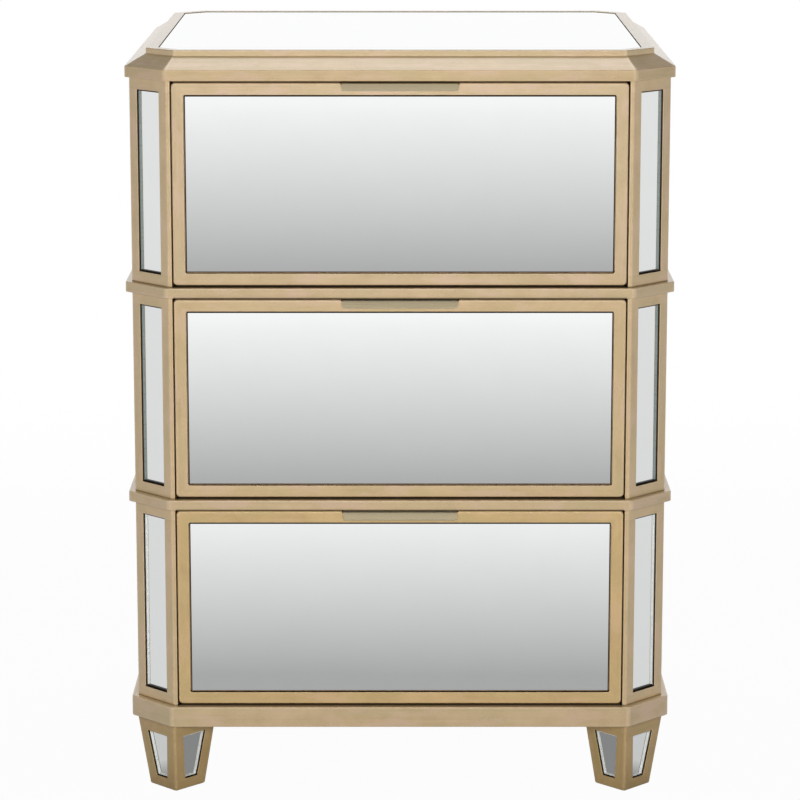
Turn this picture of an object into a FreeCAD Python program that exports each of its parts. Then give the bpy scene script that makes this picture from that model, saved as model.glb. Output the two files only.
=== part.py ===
"""Three-drawer mirrored nightstand with clipped corners, as a parametric document in millimetres.

The case is a stack: tapered feet, a base frame, and three tiers of corner posts and side panels
with a belt frame between each two, under a moulded top. A drawer runs in each tier on a pair of
three-part telescopic slides. +Z is up, the drawers open towards -Y, and the origin is on the floor
in the middle of the whole outline. Places along Y are counted from the middle of the case.
"""
import FreeCAD
import Part
import Sketcher
import os

# Driving dimensions: name, value in millimetres, what it measures
SIZES = (
    ("width", 554, "outline of the belts and the base, side to side"),
    ("depth", 520, "outline of the belts and the base, front to back"),
    ("corner_clip", 43, "leg of the 45 degree cut at each corner of that outline"),
    ("foot_height", 74.5, "floor to the underside of the base"),
    ("base_height", 21, "height of the base frame"),
    ("tier_height", 206.5, "clear height of each drawer's tier"),
    ("belt_height", 10.5, "height of each belt frame"),
    ("edge_round", 1, "easing of the frames' outer edges"),
    ("post_round", 2, "easing of a post's upright edges beside its facet"),
    ("top_inset", 2, "top's band inside the outline of the belts"),
    ("top_band_height", 11, "upright band at the foot of the top's moulding"),
    ("top_bevel_rise", 12, "height of the top's bevel"),
    ("top_bevel_run", 21, "how far the bevel leans in"),
    ("top_rim_height", 5.5, "upright rim above the bevel"),
    ("top_rim_width", 12, "flat rim round the top mirror"),
    ("top_mirror_drop", 0.6, "top mirror below its rim"),
    ("case_inset", 6.5, "posts, panels and drawer fronts inside the outline"),
    ("post_edge", 3.8, "flat strip of a post on each side of its facet"),
    ("facet_border", 11, "gold at the sides of a facet's mirror"),
    ("facet_rail", 11.5, "gold above and below a facet's mirror"),
    ("side_thickness", 18, "side panel"),
    ("side_border", 12, "gold round a side panel's mirror"),
    ("mirror_thickness", 4, "mirror glass"),
    ("mirror_recess", 2, "mirror face below the gold round it"),
    ("mirror_gap", 0.8, "groove left round each mirror"),
    ("belt_rail", 50, "width of the belt frames' members"),
    ("base_rail", 66, "width of the base frame's members"),
    ("panel_thickness", 5, "dust panels and bottom panel"),
    ("panel_rebate", 8, "ledge that carries such a panel"),
    ("fit_gap", 0.2, "clearance of a piece in its rebate, groove or bore"),
    ("back_thickness", 6, "back panel"),
    ("back_inset", 8, "back panel inside the rear of the posts"),
    ("drawer_side_gap", 1.3, "drawer front to post"),
    ("drawer_end_gap", 2, "drawer front to the frames above and below"),
    ("front_border", 12, "gold frame round a drawer's mirror"),
    ("front_round", 1.5, "easing of the drawer frame's outer edge"),
    ("front_corner", 4, "rounding of a drawer front's four corners"),
    ("window_corner", 2, "rounding of the corners of the drawer frame's window"),
    ("front_board", 14, "board behind a drawer's mirror"),
    ("box_wall", 12, "sides and back of a drawer box"),
    ("box_lift", 14, "drawer box above the foot of its front"),
    ("box_drop", 28, "drawer box below the head of its front"),
    ("box_rear_gap", 40, "drawer box to back panel"),
    ("bottom_thickness", 5, "drawer bottom"),
    ("bottom_lift", 10, "drawer bottom above the foot of the box"),
    ("groove_depth", 5, "groove that holds the drawer bottom"),
    ("slide_height", 45, "telescopic slide, cabinet member"),
    ("slide_width", 12.5, "post to drawer box, filled by a slide"),
    ("slide_gauge", 1.2, "steel of the slides"),
    ("slide_clear", 0.4, "running clearance between slide members"),
    ("slide_setback", 4, "slide behind the drawer's front board"),
    ("slide_rear_gap", 30, "slide short of the drawer box's rear"),
    ("cleat_height", 60, "wooden cleat behind a slide"),
    ("pull_length", 115, "edge pull along the drawer's head"),
    ("pull_gauge", 1.6, "metal of the pull"),
    ("pull_flange", 17, "pull's leaf let into the drawer's head"),
    ("pull_shelf", 5, "pull's level part in front of the drawer"),
    ("pull_reach", 12, "pull's lip in front of the drawer"),
    ("pull_drop", 7, "pull's lip below the drawer's head"),
    ("pull_bend", 1.2, "inside radius of the pull's bend"),
    ("pull_end_gap", 1.5, "clearance at each end of the pull in its seat"),
    ("screw_radius", 1.5, "pull screw"),
    ("screw_head_radius", 2.9, "pull screw's head, sunk flush in the pull"),
    ("screw_length", 14, "pull screw"),
    ("screw_spacing", 80, "between a pull's two screws"),
    ("screw_setback", 12, "pull screw behind the drawer's face"),
    ("foot_top", 58, "side of a foot's square under the base"),
    ("foot_bottom", 40.5, "side of a foot's square on the floor"),
    ("foot_rail_top", 14.5, "gold above a foot's mirrors"),
    ("foot_rail_bottom", 11.5, "gold below a foot's mirrors"),
    ("foot_mirror_top", 30.5, "opening for a foot's mirror at its head"),
    ("foot_mirror_bottom", 16.5, "opening for a foot's mirror at its foot"),
    ("foot_round", 2, "easing of a foot's corners"),
    ("sole_round", 1.5, "easing of a foot's lower edges"),
    ("bolt_radius", 4, "hanger bolt of a foot"),
    ("bolt_in_foot", 32, "hanger bolt in the foot"),
    ("bolt_in_base", 14, "hanger bolt in the base frame"),
)

# Values worked out from the driving dimensions: name, formula
DERIVED = (
    ("half_width", "Sizes.width / 2"),
    ("half_depth", "Sizes.depth / 2"),
    ("clip_rate", "2 - sqrt(2)"),
    ("case_half_width", "Sizes.width / 2 - Sizes.case_inset"),
    ("case_half_depth", "Sizes.depth / 2 - Sizes.case_inset"),
    ("case_clip", "Sizes.corner_clip - Sizes.case_inset * (2 - sqrt(2))"),
    ("facet_front", "Sizes.width / 2 - Sizes.case_inset - case_clip"),
    ("facet_side", "Sizes.depth / 2 - Sizes.case_inset - case_clip"),
    ("facet_length", "case_clip * sqrt(2)"),
    ("opening_half", "facet_front - Sizes.post_edge"),
    ("panel_half", "facet_side - Sizes.post_edge"),
    ("case_y", "max(Sizes.pull_reach - Sizes.case_inset; 0) / 2"),
    ("tier_3_z", "Sizes.foot_height + Sizes.base_height"),
    ("belt_lower_z", "tier_3_z + Sizes.tier_height"),
    ("tier_2_z", "belt_lower_z + Sizes.belt_height"),
    ("belt_upper_z", "tier_2_z + Sizes.tier_height"),
    ("tier_1_z", "belt_upper_z + Sizes.belt_height"),
    ("top_z", "tier_1_z + Sizes.tier_height"),
    ("bevel_z", "top_z + Sizes.top_band_height"),
    ("rim_z", "bevel_z + Sizes.top_bevel_rise"),
    ("rim_inset", "Sizes.top_inset + Sizes.top_bevel_run"),
    ("top_opening_inset", "rim_inset + Sizes.top_rim_width"),
    ("top_mirror_z", "rim_z + Sizes.top_rim_height - Sizes.top_mirror_drop - Sizes.mirror_thickness"),
    ("pocket_depth", "Sizes.mirror_recess + Sizes.mirror_thickness"),
    ("side_inner", "case_half_width - Sizes.side_thickness"),
    ("back_face", "case_half_depth - Sizes.back_inset - Sizes.back_thickness"),
    ("drawer_height", "Sizes.tier_height - 2 * Sizes.drawer_end_gap"),
    ("front_half", "opening_half - Sizes.drawer_side_gap"),
    ("board_face", "case_half_depth - pocket_depth"),
    ("box_face", "board_face - Sizes.front_board"),
    ("box_rear", "back_face - Sizes.box_rear_gap"),
    ("box_half", "opening_half - Sizes.slide_width"),
    ("box_inner", "box_half - Sizes.box_wall"),
    ("box_height", "drawer_height - Sizes.box_lift - Sizes.box_drop"),
    ("slide_face", "box_face - Sizes.slide_setback"),
    ("slide_length", "slide_face + box_rear - Sizes.slide_rear_gap"),
    ("foot_slope", "(Sizes.foot_top - Sizes.foot_bottom) / 2 / Sizes.foot_height"),
)

TIERS = ("1", "2", "3")
SIDES = (("left", -1), ("right", 1))
ENDS = (("front", -1), ("rear", 1))
OVERCUT = 2  # how far a cutting outline passes the face that it cuts
UPRIGHT = FreeCAD.Vector(0, 0, 1)

doc = FreeCAD.newDocument("nightstand")
nodes = []


def fill_sheet(name, rows):
    """A sheet with one aliased value or formula to a row."""
    sheet = doc.addObject("Spreadsheet::Sheet", name)
    for row, (alias, content, *note) in enumerate(rows, start=1):
        sheet.set(f"A{row}", alias)
        sheet.set(f"B{row}", str(content))
        sheet.setAlias(f"B{row}", alias)
        sheet.set(f"C{row}", "".join(note))
    doc.recompute()
    return sheet


def keep(label, piece):
    """Name a finished piece and list it for writing."""
    piece.Label = label
    nodes.append(piece)
    return piece


def group(label, pieces):
    """Like pieces that share one node, each still a solid of its own."""
    compound = doc.addObject("Part::Compound", label)
    compound.Links = pieces
    return keep(label, compound)


def board(name, low, size, turn=0):
    """A rectangular board from its lowest corner and its size, turned about Z at that corner."""
    box = doc.addObject("Part::Box", name)
    box.Placement.Rotation = FreeCAD.Rotation(UPRIGHT, turn)
    place(box, *low)
    for side, expression in zip(("Length", "Width", "Height"), size):
        box.setExpression(side, expression)
    return box


def rod(name, middle, radius, length):
    """An upright round bar from the centre of its lower end."""
    bar = doc.addObject("Part::Cylinder", name)
    place(bar, *middle)
    bar.setExpression("Radius", radius)
    bar.setExpression("Height", length)
    return bar


def place(piece, x, y, z):
    """Bind a piece's place to expressions, with y counted from the middle of the case."""
    piece.setExpression("Placement.Base.x", x)
    piece.setExpression("Placement.Base.y", f"{y} + Derived.case_y")
    piece.setExpression("Placement.Base.z", z)


def cut(name, base, *tools):
    """A board with pieces cut out of it."""
    tool = tools[0]
    if len(tools) > 1:
        tool = doc.addObject("Part::MultiFuse", f"{name}_tools")
        tool.Shapes = list(tools)
    result = doc.addObject("Part::Cut", name)
    result.Base = base
    result.Tool = tool
    return result


def new_body(name):
    """A body that stands in the middle of the case."""
    body = doc.addObject("PartDesign::Body", name)
    body.setExpression("Placement.Base.y", "Derived.case_y")
    return body


def new_sketch(body, plane="XY_Plane", lift="0"):
    """An empty sketch on one of the body's own planes, lifted along that plane's normal."""
    sketch = body.newObject("Sketcher::SketchObject", f"{body.Name}_sketch")
    support = next(feature for feature in body.Origin.OriginFeatures if feature.Role == plane)
    sketch.AttachmentSupport = [(support, "")]
    sketch.MapMode = "FlatFace"
    sketch.setExpression("AttachmentOffset.Base.z", lift)
    return sketch


def bind(sketch, constraint, expression):
    """Add a constraint whose value follows an expression."""
    index = sketch.addConstraint(constraint)
    sketch.setExpression(f"Constraints[{index}]", expression)


def outline(sketch, corners):
    """A closed straight-sided loop with both coordinates of every corner bound to expressions."""
    first = sketch.GeometryCount
    count = len(corners)
    points = [FreeCAD.Vector(value_of(x), value_of(y), 0) for x, y in corners]
    for index, point in enumerate(points):
        sketch.addGeometry(Part.LineSegment(point, points[(index + 1) % count]), False)
    for index, (point, (x, y)) in enumerate(zip(points, corners)):
        line = first + index
        following = first + (index + 1) % count
        sketch.addConstraint(Sketcher.Constraint("Coincident", line, 2, following, 1))
        bind(sketch, Sketcher.Constraint("DistanceX", -1, 1, line, 1, point.x), x)
        bind(sketch, Sketcher.Constraint("DistanceY", -1, 1, line, 1, point.y), y)
    return sketch


def circle(sketch, x, y, radius):
    """A circle whose centre and radius are bound to expressions."""
    centre = FreeCAD.Vector(value_of(x), value_of(y), 0)
    size = value_of(radius)
    index = sketch.addGeometry(Part.Circle(centre, UPRIGHT, size), False)
    bind(sketch, Sketcher.Constraint("DistanceX", -1, 1, index, 3, centre.x), x)
    bind(sketch, Sketcher.Constraint("DistanceY", -1, 1, index, 3, centre.y), y)
    bind(sketch, Sketcher.Constraint("Radius", index, size), radius)
    return sketch


def value_of(expression):
    """The number that an expression gives now."""
    return float(sizes.evalExpression(expression))


def rectangle(half_x, half_y):
    """Corners of a rectangle about the origin."""
    return [
        (f"-({half_x})", f"-({half_y})"),
        (half_x, f"-({half_y})"),
        (half_x, half_y),
        (f"-({half_x})", half_y),
    ]


def octagon(inset):
    """Corners of the belts' clipped outline, moved in by the same distance on every side."""
    x_long = f"Derived.half_width - ({inset})"
    y_long = f"Derived.half_depth - ({inset})"
    clip = f"(Sizes.corner_clip - ({inset}) * Derived.clip_rate)"
    x_short = f"{x_long} - {clip}"
    y_short = f"{y_long} - {clip}"
    quarter = [(x_short, y_long), (x_long, y_short)]
    corners = []
    for sign_x, sign_y in ((1, -1), (1, 1), (-1, 1), (-1, -1)):
        turn = quarter if sign_x * sign_y < 0 else quarter[::-1]
        corners += [(f"{sign_x} * ({x})", f"{sign_y} * ({y})") for x, y in turn]
    return corners


def pad(body, sketch, length):
    """Raise a sketch along its normal."""
    feature = body.newObject("PartDesign::Pad", f"{body.Name}_pad")
    feature.Profile = sketch
    feature.setExpression("Length", length)
    doc.recompute()
    return feature


def pocket(body, sketch, depth, along_normal=False):
    """Sink a sketch against its normal, or along it, and make sure that it cuts."""
    before = body.Shape.Volume
    feature = body.newObject("PartDesign::Pocket", f"{body.Name}_pocket")
    feature.Profile = sketch
    feature.Reversed = along_normal
    feature.setExpression("Length", depth)
    doc.recompute()
    if body.Shape.Volume >= before:
        raise RuntimeError(f"{feature.Name} cuts nothing")
    return feature


def loft(body, kind, sketches):
    """Join two sketches by straight sides, adding to the body or taking from it."""
    feature = body.newObject(f"PartDesign::{kind}Loft", f"{body.Name}_loft")
    feature.Profile = sketches[0]
    feature.Sections = sketches[1:]
    feature.Ruled = True
    doc.recompute()
    return feature


def fillet(body, base, names, radius):
    """Round edges, or all the edges of faces, of the last feature."""
    feature = body.newObject("PartDesign::Fillet", f"{body.Name}_fillet")
    feature.Base = (base, names)
    feature.setExpression("Radius", radius)
    doc.recompute()
    return feature


def face_towards(feature, *direction):
    """Name of the feature's face that lies furthest along a direction."""
    way = FreeCAD.Vector(*direction)
    reach = [face.CenterOfMass.dot(way) for face in feature.Shape.Faces]
    return f"Face{reach.index(max(reach)) + 1}"


def edges_where(feature, test):
    """Names of the feature's edges that pass a test."""
    return [f"Edge{index}" for index, edge in enumerate(feature.Shape.Edges, start=1) if test(edge)]


def runs_along(edge, axis, length):
    """Whether an edge covers a length along one axis."""
    size = getattr(edge.BoundBox, f"{axis}Length")
    return abs(size - length) < 1e-6


def clipped_frame(name, z, height, rail):
    """An octagonal frame with eased edges, open in the middle, with a ledge for a panel."""
    body = new_body(name)
    plate = pad(body, outline(new_sketch(body, lift=z), octagon("0")), height)
    faces = [face_towards(plate, 0, 0, 1), face_towards(plate, 0, 0, -1)]
    fillet(body, plate, faces, "Sizes.edge_round")
    half_x = f"Derived.half_width - {rail}"
    half_y = f"Derived.half_depth - {rail}"
    top = f"{z} + {height}"
    pocket(body, outline(new_sketch(body, lift=top), rectangle(half_x, half_y)), height)
    ledge = rectangle(f"{half_x} + Sizes.panel_rebate", f"{half_y} + Sizes.panel_rebate")
    pocket(body, outline(new_sketch(body, lift=top), ledge), "Sizes.panel_thickness")
    return body


def frame_panel(name, z, height, rail):
    """The thin panel that lies on a frame's ledge."""
    half_x = f"(Derived.half_width - {rail} + Sizes.panel_rebate - Sizes.fit_gap)"
    half_y = f"(Derived.half_depth - {rail} + Sizes.panel_rebate - Sizes.fit_gap)"
    low = (f"-{half_x}", f"-{half_y}", f"{z} + {height} - Sizes.panel_thickness")
    return board(name, low, (f"2 * {half_x}", f"2 * {half_y}", "Sizes.panel_thickness"))


def make_base():
    """Base frame with a bore for each foot's bolt, and the bottom panel."""
    body = clipped_frame("base_frame", "Sizes.foot_height", "Sizes.base_height", "Sizes.base_rail")
    bores = new_sketch(body, lift="Sizes.foot_height")
    for _, side in SIDES:
        for _, end in ENDS:
            x = f"{side} * Derived.facet_front"
            circle(bores, x, f"{end} * Derived.facet_side", "Sizes.bolt_radius + Sizes.fit_gap")
    pocket(body, bores, "Sizes.bolt_in_base + Sizes.fit_gap", along_normal=True)
    keep("base_frame", body)
    panel = frame_panel("bottom_panel", "Sizes.foot_height", "Sizes.base_height", "Sizes.base_rail")
    keep("bottom_panel", panel)


def make_belts():
    """The two belt frames between the tiers, each with its dust panel."""
    for level in ("upper", "lower"):
        z = f"Derived.belt_{level}_z"
        keep(f"belt_{level}", clipped_frame(f"belt_{level}", z, "Sizes.belt_height", "Sizes.belt_rail"))
        name = f"dust_panel_{level}"
        keep(name, frame_panel(name, z, "Sizes.belt_height", "Sizes.belt_rail"))


def make_top():
    """Moulded top frame: band, bevel and rim, with the board and the mirror that it holds."""
    body = new_body("top_frame")
    band = outline(new_sketch(body, lift="Derived.top_z"), octagon("Sizes.top_inset"))
    pad(body, band, "Sizes.top_band_height")
    bevel_foot = outline(new_sketch(body, lift="Derived.bevel_z"), octagon("Sizes.top_inset"))
    bevel_head = outline(new_sketch(body, lift="Derived.rim_z"), octagon("Derived.rim_inset"))
    loft(body, "Additive", [bevel_foot, bevel_head])
    rim = outline(new_sketch(body, lift="Derived.rim_z"), octagon("Derived.rim_inset"))
    whole = pad(body, rim, "Sizes.top_rim_height")
    faces = [face_towards(whole, 0, 0, 1), face_towards(whole, 0, 0, -1)]
    fillet(body, whole, faces, "Sizes.edge_round")
    rise = "Derived.rim_z + Sizes.top_rim_height"
    opening = outline(new_sketch(body, lift=rise), octagon("Derived.top_opening_inset"))
    pocket(body, opening, f"{rise} - Derived.top_z")
    keep("top_frame", body)

    body = new_body("top_board")
    under = outline(new_sketch(body, lift="Derived.top_z"), octagon("Derived.top_opening_inset"))
    pad(body, under, "Derived.top_mirror_z - Derived.top_z")
    keep("top_board", body)

    body = new_body("top_mirror")
    inset = "Derived.top_opening_inset + Sizes.mirror_gap"
    glass = outline(new_sketch(body, lift="Derived.top_mirror_z"), octagon(inset))
    pad(body, glass, "Sizes.mirror_thickness")
    keep("top_mirror", body)


def post_block(name, tier, side, end):
    """One tier's corner post: a block with its outer corner cut to a facet, sunk for a mirror."""
    body = new_body(name)
    z = f"Derived.tier_{tier}_z"
    corners = [
        ("Derived.opening_half", "Derived.case_half_depth"),
        ("Derived.facet_front", "Derived.case_half_depth"),
        ("Derived.case_half_width", "Derived.facet_side"),
        ("Derived.case_half_width", "Derived.panel_half"),
        ("Derived.opening_half", "Derived.panel_half"),
    ]
    signed = [(f"{side} * {x}", f"{end} * {y}") for x, y in corners]
    block = pad(body, outline(new_sketch(body, lift=z), signed), "Sizes.tier_height")
    height = value_of("Sizes.tier_height")
    inner_y = value_of("Derived.panel_half")
    inner_x = value_of("Derived.opening_half")

    def on_facet(edge):
        """Upright edges at both ends of the facet."""
        x, y = abs(edge.CenterOfMass.x), abs(edge.CenterOfMass.y)
        return runs_along(edge, "Z", height) and x > inner_x + 1e-6 and y > inner_y + 1e-6

    fillet(body, block, edges_where(block, on_facet), "Sizes.post_round")
    near = "Sizes.facet_border / sqrt(2)"
    out = f"{OVERCUT} / sqrt(2)"
    sunk = "Derived.pocket_depth / sqrt(2)"
    ends = [
        (f"(Derived.facet_front + {near})", f"(Derived.case_half_depth - {near})"),
        (f"(Derived.case_half_width - {near})", f"(Derived.facet_side + {near})"),
    ]
    recess = [(f"{x} + {out}", f"{y} + {out}") for x, y in ends]
    recess += [(f"{x} - {sunk}", f"{y} - {sunk}") for x, y in ends[::-1]]
    signed = [(f"{side} * ({x})", f"{end} * ({y})") for x, y in recess]
    floor = outline(new_sketch(body, lift=f"{z} + Sizes.facet_rail"), signed)
    pocket(body, floor, "Sizes.tier_height - 2 * Sizes.facet_rail", along_normal=True)
    return body


def facet_mirror(name, tier, side, end):
    """The mirror in a post's facet, a plate turned to the facet's 45 degrees."""
    # The plate's length runs so that its thickness points into the case.
    along_x = -end
    along_y = side
    if side * end < 0:
        start = ("Derived.facet_front", "Derived.case_half_depth")
    else:
        start = ("Derived.case_half_width", "Derived.facet_side")
    step = "(Sizes.facet_border + Sizes.mirror_gap) / sqrt(2)"
    sunk = "Sizes.mirror_recess / sqrt(2)"
    low = (
        f"{side} * {start[0]} + {along_x} * {step} - {side} * {sunk}",
        f"{end} * {start[1]} + {along_y} * {step} - {end} * {sunk}",
        f"Derived.tier_{tier}_z + Sizes.facet_rail + Sizes.mirror_gap",
    )
    size = (
        "Derived.facet_length - 2 * Sizes.facet_border - 2 * Sizes.mirror_gap",
        "Sizes.mirror_thickness",
        "Sizes.tier_height - 2 * Sizes.facet_rail - 2 * Sizes.mirror_gap",
    )
    turns = {(1, -1): 45, (1, 1): 135, (-1, 1): 225, (-1, -1): 315}
    return board(name, low, size, turns[side, end])


def make_posts():
    """Four corner posts, each a stack of three blocks, and the mirrors in their facets."""
    mirrors = []
    for end_name, end in ENDS:
        for side_name, side in SIDES:
            label = f"post_{end_name}_{side_name}"
            group(label, [post_block(f"{label}_{tier}", tier, side, end) for tier in TIERS])
            mirrors += [facet_mirror(f"{label}_mirror_{tier}", tier, side, end) for tier in TIERS]
    group("post_mirrors", mirrors)


def side_panel(name, tier, side):
    """One tier's side panel, sunk for its mirror, and the mirror."""
    z = f"Derived.tier_{tier}_z"
    outer = "Derived.case_half_width"
    border = "Sizes.side_border"

    def slab(part, depth, thickness, margin):
        """A slab in the panel's plane, sunk below its face by a depth."""
        inner_face = f"{outer} - {depth} - {thickness}"
        x = inner_face if side > 0 else f"-({outer}) + {depth}"
        low = (x, f"-(Derived.panel_half - {margin})", f"{z} + {margin}")
        span = f"2 * (Derived.panel_half - {margin})"
        return board(f"{name}_{part}", low, (thickness, span, f"Sizes.tier_height - 2 * ({margin})"))

    whole = slab("board", "0", "Sizes.side_thickness", "0")
    recess = slab("recess", f"-{OVERCUT}", f"(Derived.pocket_depth + {OVERCUT})", border)
    margin = f"({border} + Sizes.mirror_gap)"
    mirror = slab("mirror", "Sizes.mirror_recess", "Sizes.mirror_thickness", margin)
    return cut(name, whole, recess), mirror


def make_sides():
    """Side panels between the posts, a back panel in each tier and the cleats for the slides."""
    mirrors = []
    cleats = []
    for side_name, side in SIDES:
        label = f"side_panel_{side_name}"
        pairs = [side_panel(f"{label}_{tier}", tier, side) for tier in TIERS]
        group(label, [panel for panel, _ in pairs])
        mirrors += [mirror for _, mirror in pairs]
        x = "Derived.opening_half" if side > 0 else "-Derived.side_inner"
        width = "Derived.side_inner - Derived.opening_half"
        for tier in TIERS:
            low = (x, "-Derived.panel_half", f"{slide_middle(tier)} - Sizes.cleat_height / 2")
            size = (width, "2 * Derived.panel_half", "Sizes.cleat_height")
            cleats.append(board(f"cleat_{side_name}_{tier}", low, size))
    group("side_mirrors", mirrors)
    group("slide_cleats", cleats)
    backs = []
    for tier in TIERS:
        low = ("-Derived.opening_half", "Derived.back_face", f"Derived.tier_{tier}_z")
        size = ("2 * Derived.opening_half", "Sizes.back_thickness", "Sizes.tier_height")
        backs.append(board(f"back_{tier}", low, size))
    group("back_panels", backs)


def foot_section(body, height, half_width, near, far):
    """A level rectangle on a foot's -Y side, between two distances from its middle."""
    corners = [
        (f"-({half_width})", f"-({far})"),
        (half_width, f"-({far})"),
        (half_width, f"-({near})"),
        (f"-({half_width})", f"-({near})"),
    ]
    return outline(new_sketch(body, lift=height), corners)


def foot_slab(body, kind, sunk, thickness, margin):
    """A leaning slab parallel to a foot's -Y side, narrower at its lower end."""
    levels = (
        (f"(Sizes.foot_rail_bottom + {margin})", "Sizes.foot_mirror_bottom"),
        (f"(Sizes.foot_height - Sizes.foot_rail_top - {margin})", "Sizes.foot_mirror_top"),
    )
    sections = []
    for height, width in levels:
        far = f"Sizes.foot_bottom / 2 + Derived.foot_slope * {height} - {sunk}"
        half_width = f"{width} / 2 - {margin}"
        sections.append(foot_section(body, height, half_width, f"{far} - {thickness}", far))
    return loft(body, kind, sections)


def stand_foot(body, side, end, turn):
    """Put a foot's body under a clipped corner, square to the facet."""
    body.Placement.Rotation = FreeCAD.Rotation(UPRIGHT, turn)
    place(body, f"{side} * Derived.facet_front", f"{end} * Derived.facet_side", "0")


def foot_block(name, side, end):
    """A tapered square foot with eased corners, sunk on four sides for mirrors, bored for its bolt."""
    body = new_body(name)
    stand_foot(body, side, end, 45)
    square = outline(new_sketch(body), rectangle("Sizes.foot_bottom / 2", "Sizes.foot_bottom / 2"))
    block = pad(body, square, "Sizes.foot_height")
    block.setExpression("TaperAngle", "atan(Derived.foot_slope)")
    doc.recompute()
    height = value_of("Sizes.foot_height")
    corners = edges_where(block, lambda edge: runs_along(edge, "Z", height))
    block = fillet(body, block, corners, "Sizes.foot_round")
    fillet(body, block, [face_towards(block, 0, 0, -1)], "Sizes.sole_round")
    recess = foot_slab(body, "Subtractive", f"-{OVERCUT}", f"(Derived.pocket_depth + {OVERCUT})", "0")
    ring = body.newObject("PartDesign::PolarPattern", f"{name}_ring")
    ring.Originals = [recess]
    ring.Axis = (next(axis for axis in body.Origin.OriginFeatures if axis.Role == "Z_Axis"), [""])
    ring.Angle = 360
    ring.Occurrences = 4
    body.Tip = ring
    doc.recompute()
    bore = new_sketch(body, lift="Sizes.foot_height")
    radius = "Sizes.bolt_radius + Sizes.fit_gap"
    index = bore.addGeometry(Part.Circle(FreeCAD.Vector(), UPRIGHT, value_of(radius)), False)
    bore.addConstraint(Sketcher.Constraint("Coincident", index, 3, -1, 1))
    bind(bore, Sketcher.Constraint("Radius", index, value_of(radius)), radius)
    pocket(body, bore, "Sizes.bolt_in_foot + Sizes.fit_gap")
    return body


def make_feet():
    """Four feet with their mirrors and hanger bolts."""
    mirrors = []
    bolts = []
    for end_name, end in ENDS:
        for side_name, side in SIDES:
            label = f"foot_{end_name}_{side_name}"
            keep(label, foot_block(label, side, end))
            for quarter in range(4):
                body = new_body(f"{label}_mirror_{quarter}")
                stand_foot(body, side, end, 45 + 90 * quarter)
                plate = ("Sizes.mirror_recess", "Sizes.mirror_thickness", "Sizes.mirror_gap")
                foot_slab(body, "Additive", *plate)
                mirrors.append(body)
            middle = (
                f"{side} * Derived.facet_front",
                f"{end} * Derived.facet_side",
                "Sizes.foot_height - Sizes.bolt_in_foot",
            )
            length = "Sizes.bolt_in_foot + Sizes.bolt_in_base"
            bolts.append(rod(f"{label}_bolt", middle, "Sizes.bolt_radius", length))
    group("foot_mirrors", mirrors)
    group("foot_bolts", bolts)


def drawer_foot(tier):
    """Height of the lower edge of a drawer's front."""
    return f"(Derived.tier_{tier}_z + Sizes.drawer_end_gap)"


def drawer_head(tier):
    """Height of the upper edge of a drawer's front."""
    return f"({drawer_foot(tier)} + Derived.drawer_height)"


def slide_middle(tier):
    """Height of the middle of a drawer's slides."""
    return f"({drawer_foot(tier)} + Sizes.box_lift + Derived.box_height / 2)"


def slide_member(name, tier, side, web, tip, half_height):
    """A steel channel along Y: web and flange tips by their distance from the middle of the case."""
    body = new_body(name)
    middle = slide_middle(tier)
    towards = f"({web}) - ({tip})"
    inner = f"({web}) - Sizes.slide_gauge * ({towards}) / abs({towards})"
    thin = f"({half_height}) - Sizes.slide_gauge"
    upper = [(web, half_height), (tip, half_height), (tip, thin), (inner, thin)]
    corners = [(x, f"{middle} + ({z})") for x, z in upper]
    corners += [(x, f"{middle} - ({z})") for x, z in upper[::-1]]
    signed = [(f"{side} * ({x})", z) for x, z in corners]
    rear = "Derived.slide_length - Derived.slide_face"
    pad(body, outline(new_sketch(body, "XZ_Plane", f"-({rear})"), signed), "Derived.slide_length")
    return body


def make_slides(tier):
    """Cabinet, middle and drawer members of a drawer's pair of slides, nested with running clearance."""
    step = "(Sizes.slide_gauge + Sizes.slide_clear)"
    half = "Sizes.slide_height / 2"
    tip = "Derived.opening_half - Sizes.slide_width + Sizes.slide_gauge + Sizes.slide_clear"
    members = (
        ("slide_cabinet", "Derived.opening_half", tip, half),
        ("slide_middle", f"Derived.opening_half - {step}", tip, f"{half} - {step}"),
        ("slide_drawer", "Derived.box_half", f"Derived.opening_half - 2 * {step}", f"{half} - 2 * {step}"),
    )
    for label, *section in members:
        pair = [slide_member(f"{label}_{tier}_{name}", tier, side, *section) for name, side in SIDES]
        group(f"{label}_{tier}", pair)


def front_loop(tier, margin):
    """A drawer front's outline, moved in by a margin."""
    left, right = f"-(Derived.front_half - {margin})", f"Derived.front_half - {margin}"
    low, high = f"{drawer_foot(tier)} + {margin}", f"{drawer_head(tier)} - {margin}"
    return [(left, low), (right, low), (right, high), (left, high)]


def corners_through(feature, depth):
    """The edges of a feature that run through a depth along Y."""
    length = value_of(depth)
    return edges_where(feature, lambda edge: runs_along(edge, "Y", length))


def front_slab(body, tier, rear, thickness):
    """A slab over a whole drawer front with rounded corners, raised forward from its rear face."""
    slab = pad(body, outline(new_sketch(body, "XZ_Plane", rear), front_loop(tier, "0")), thickness)
    return fillet(body, slab, corners_through(slab, thickness), "Sizes.front_corner")


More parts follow.
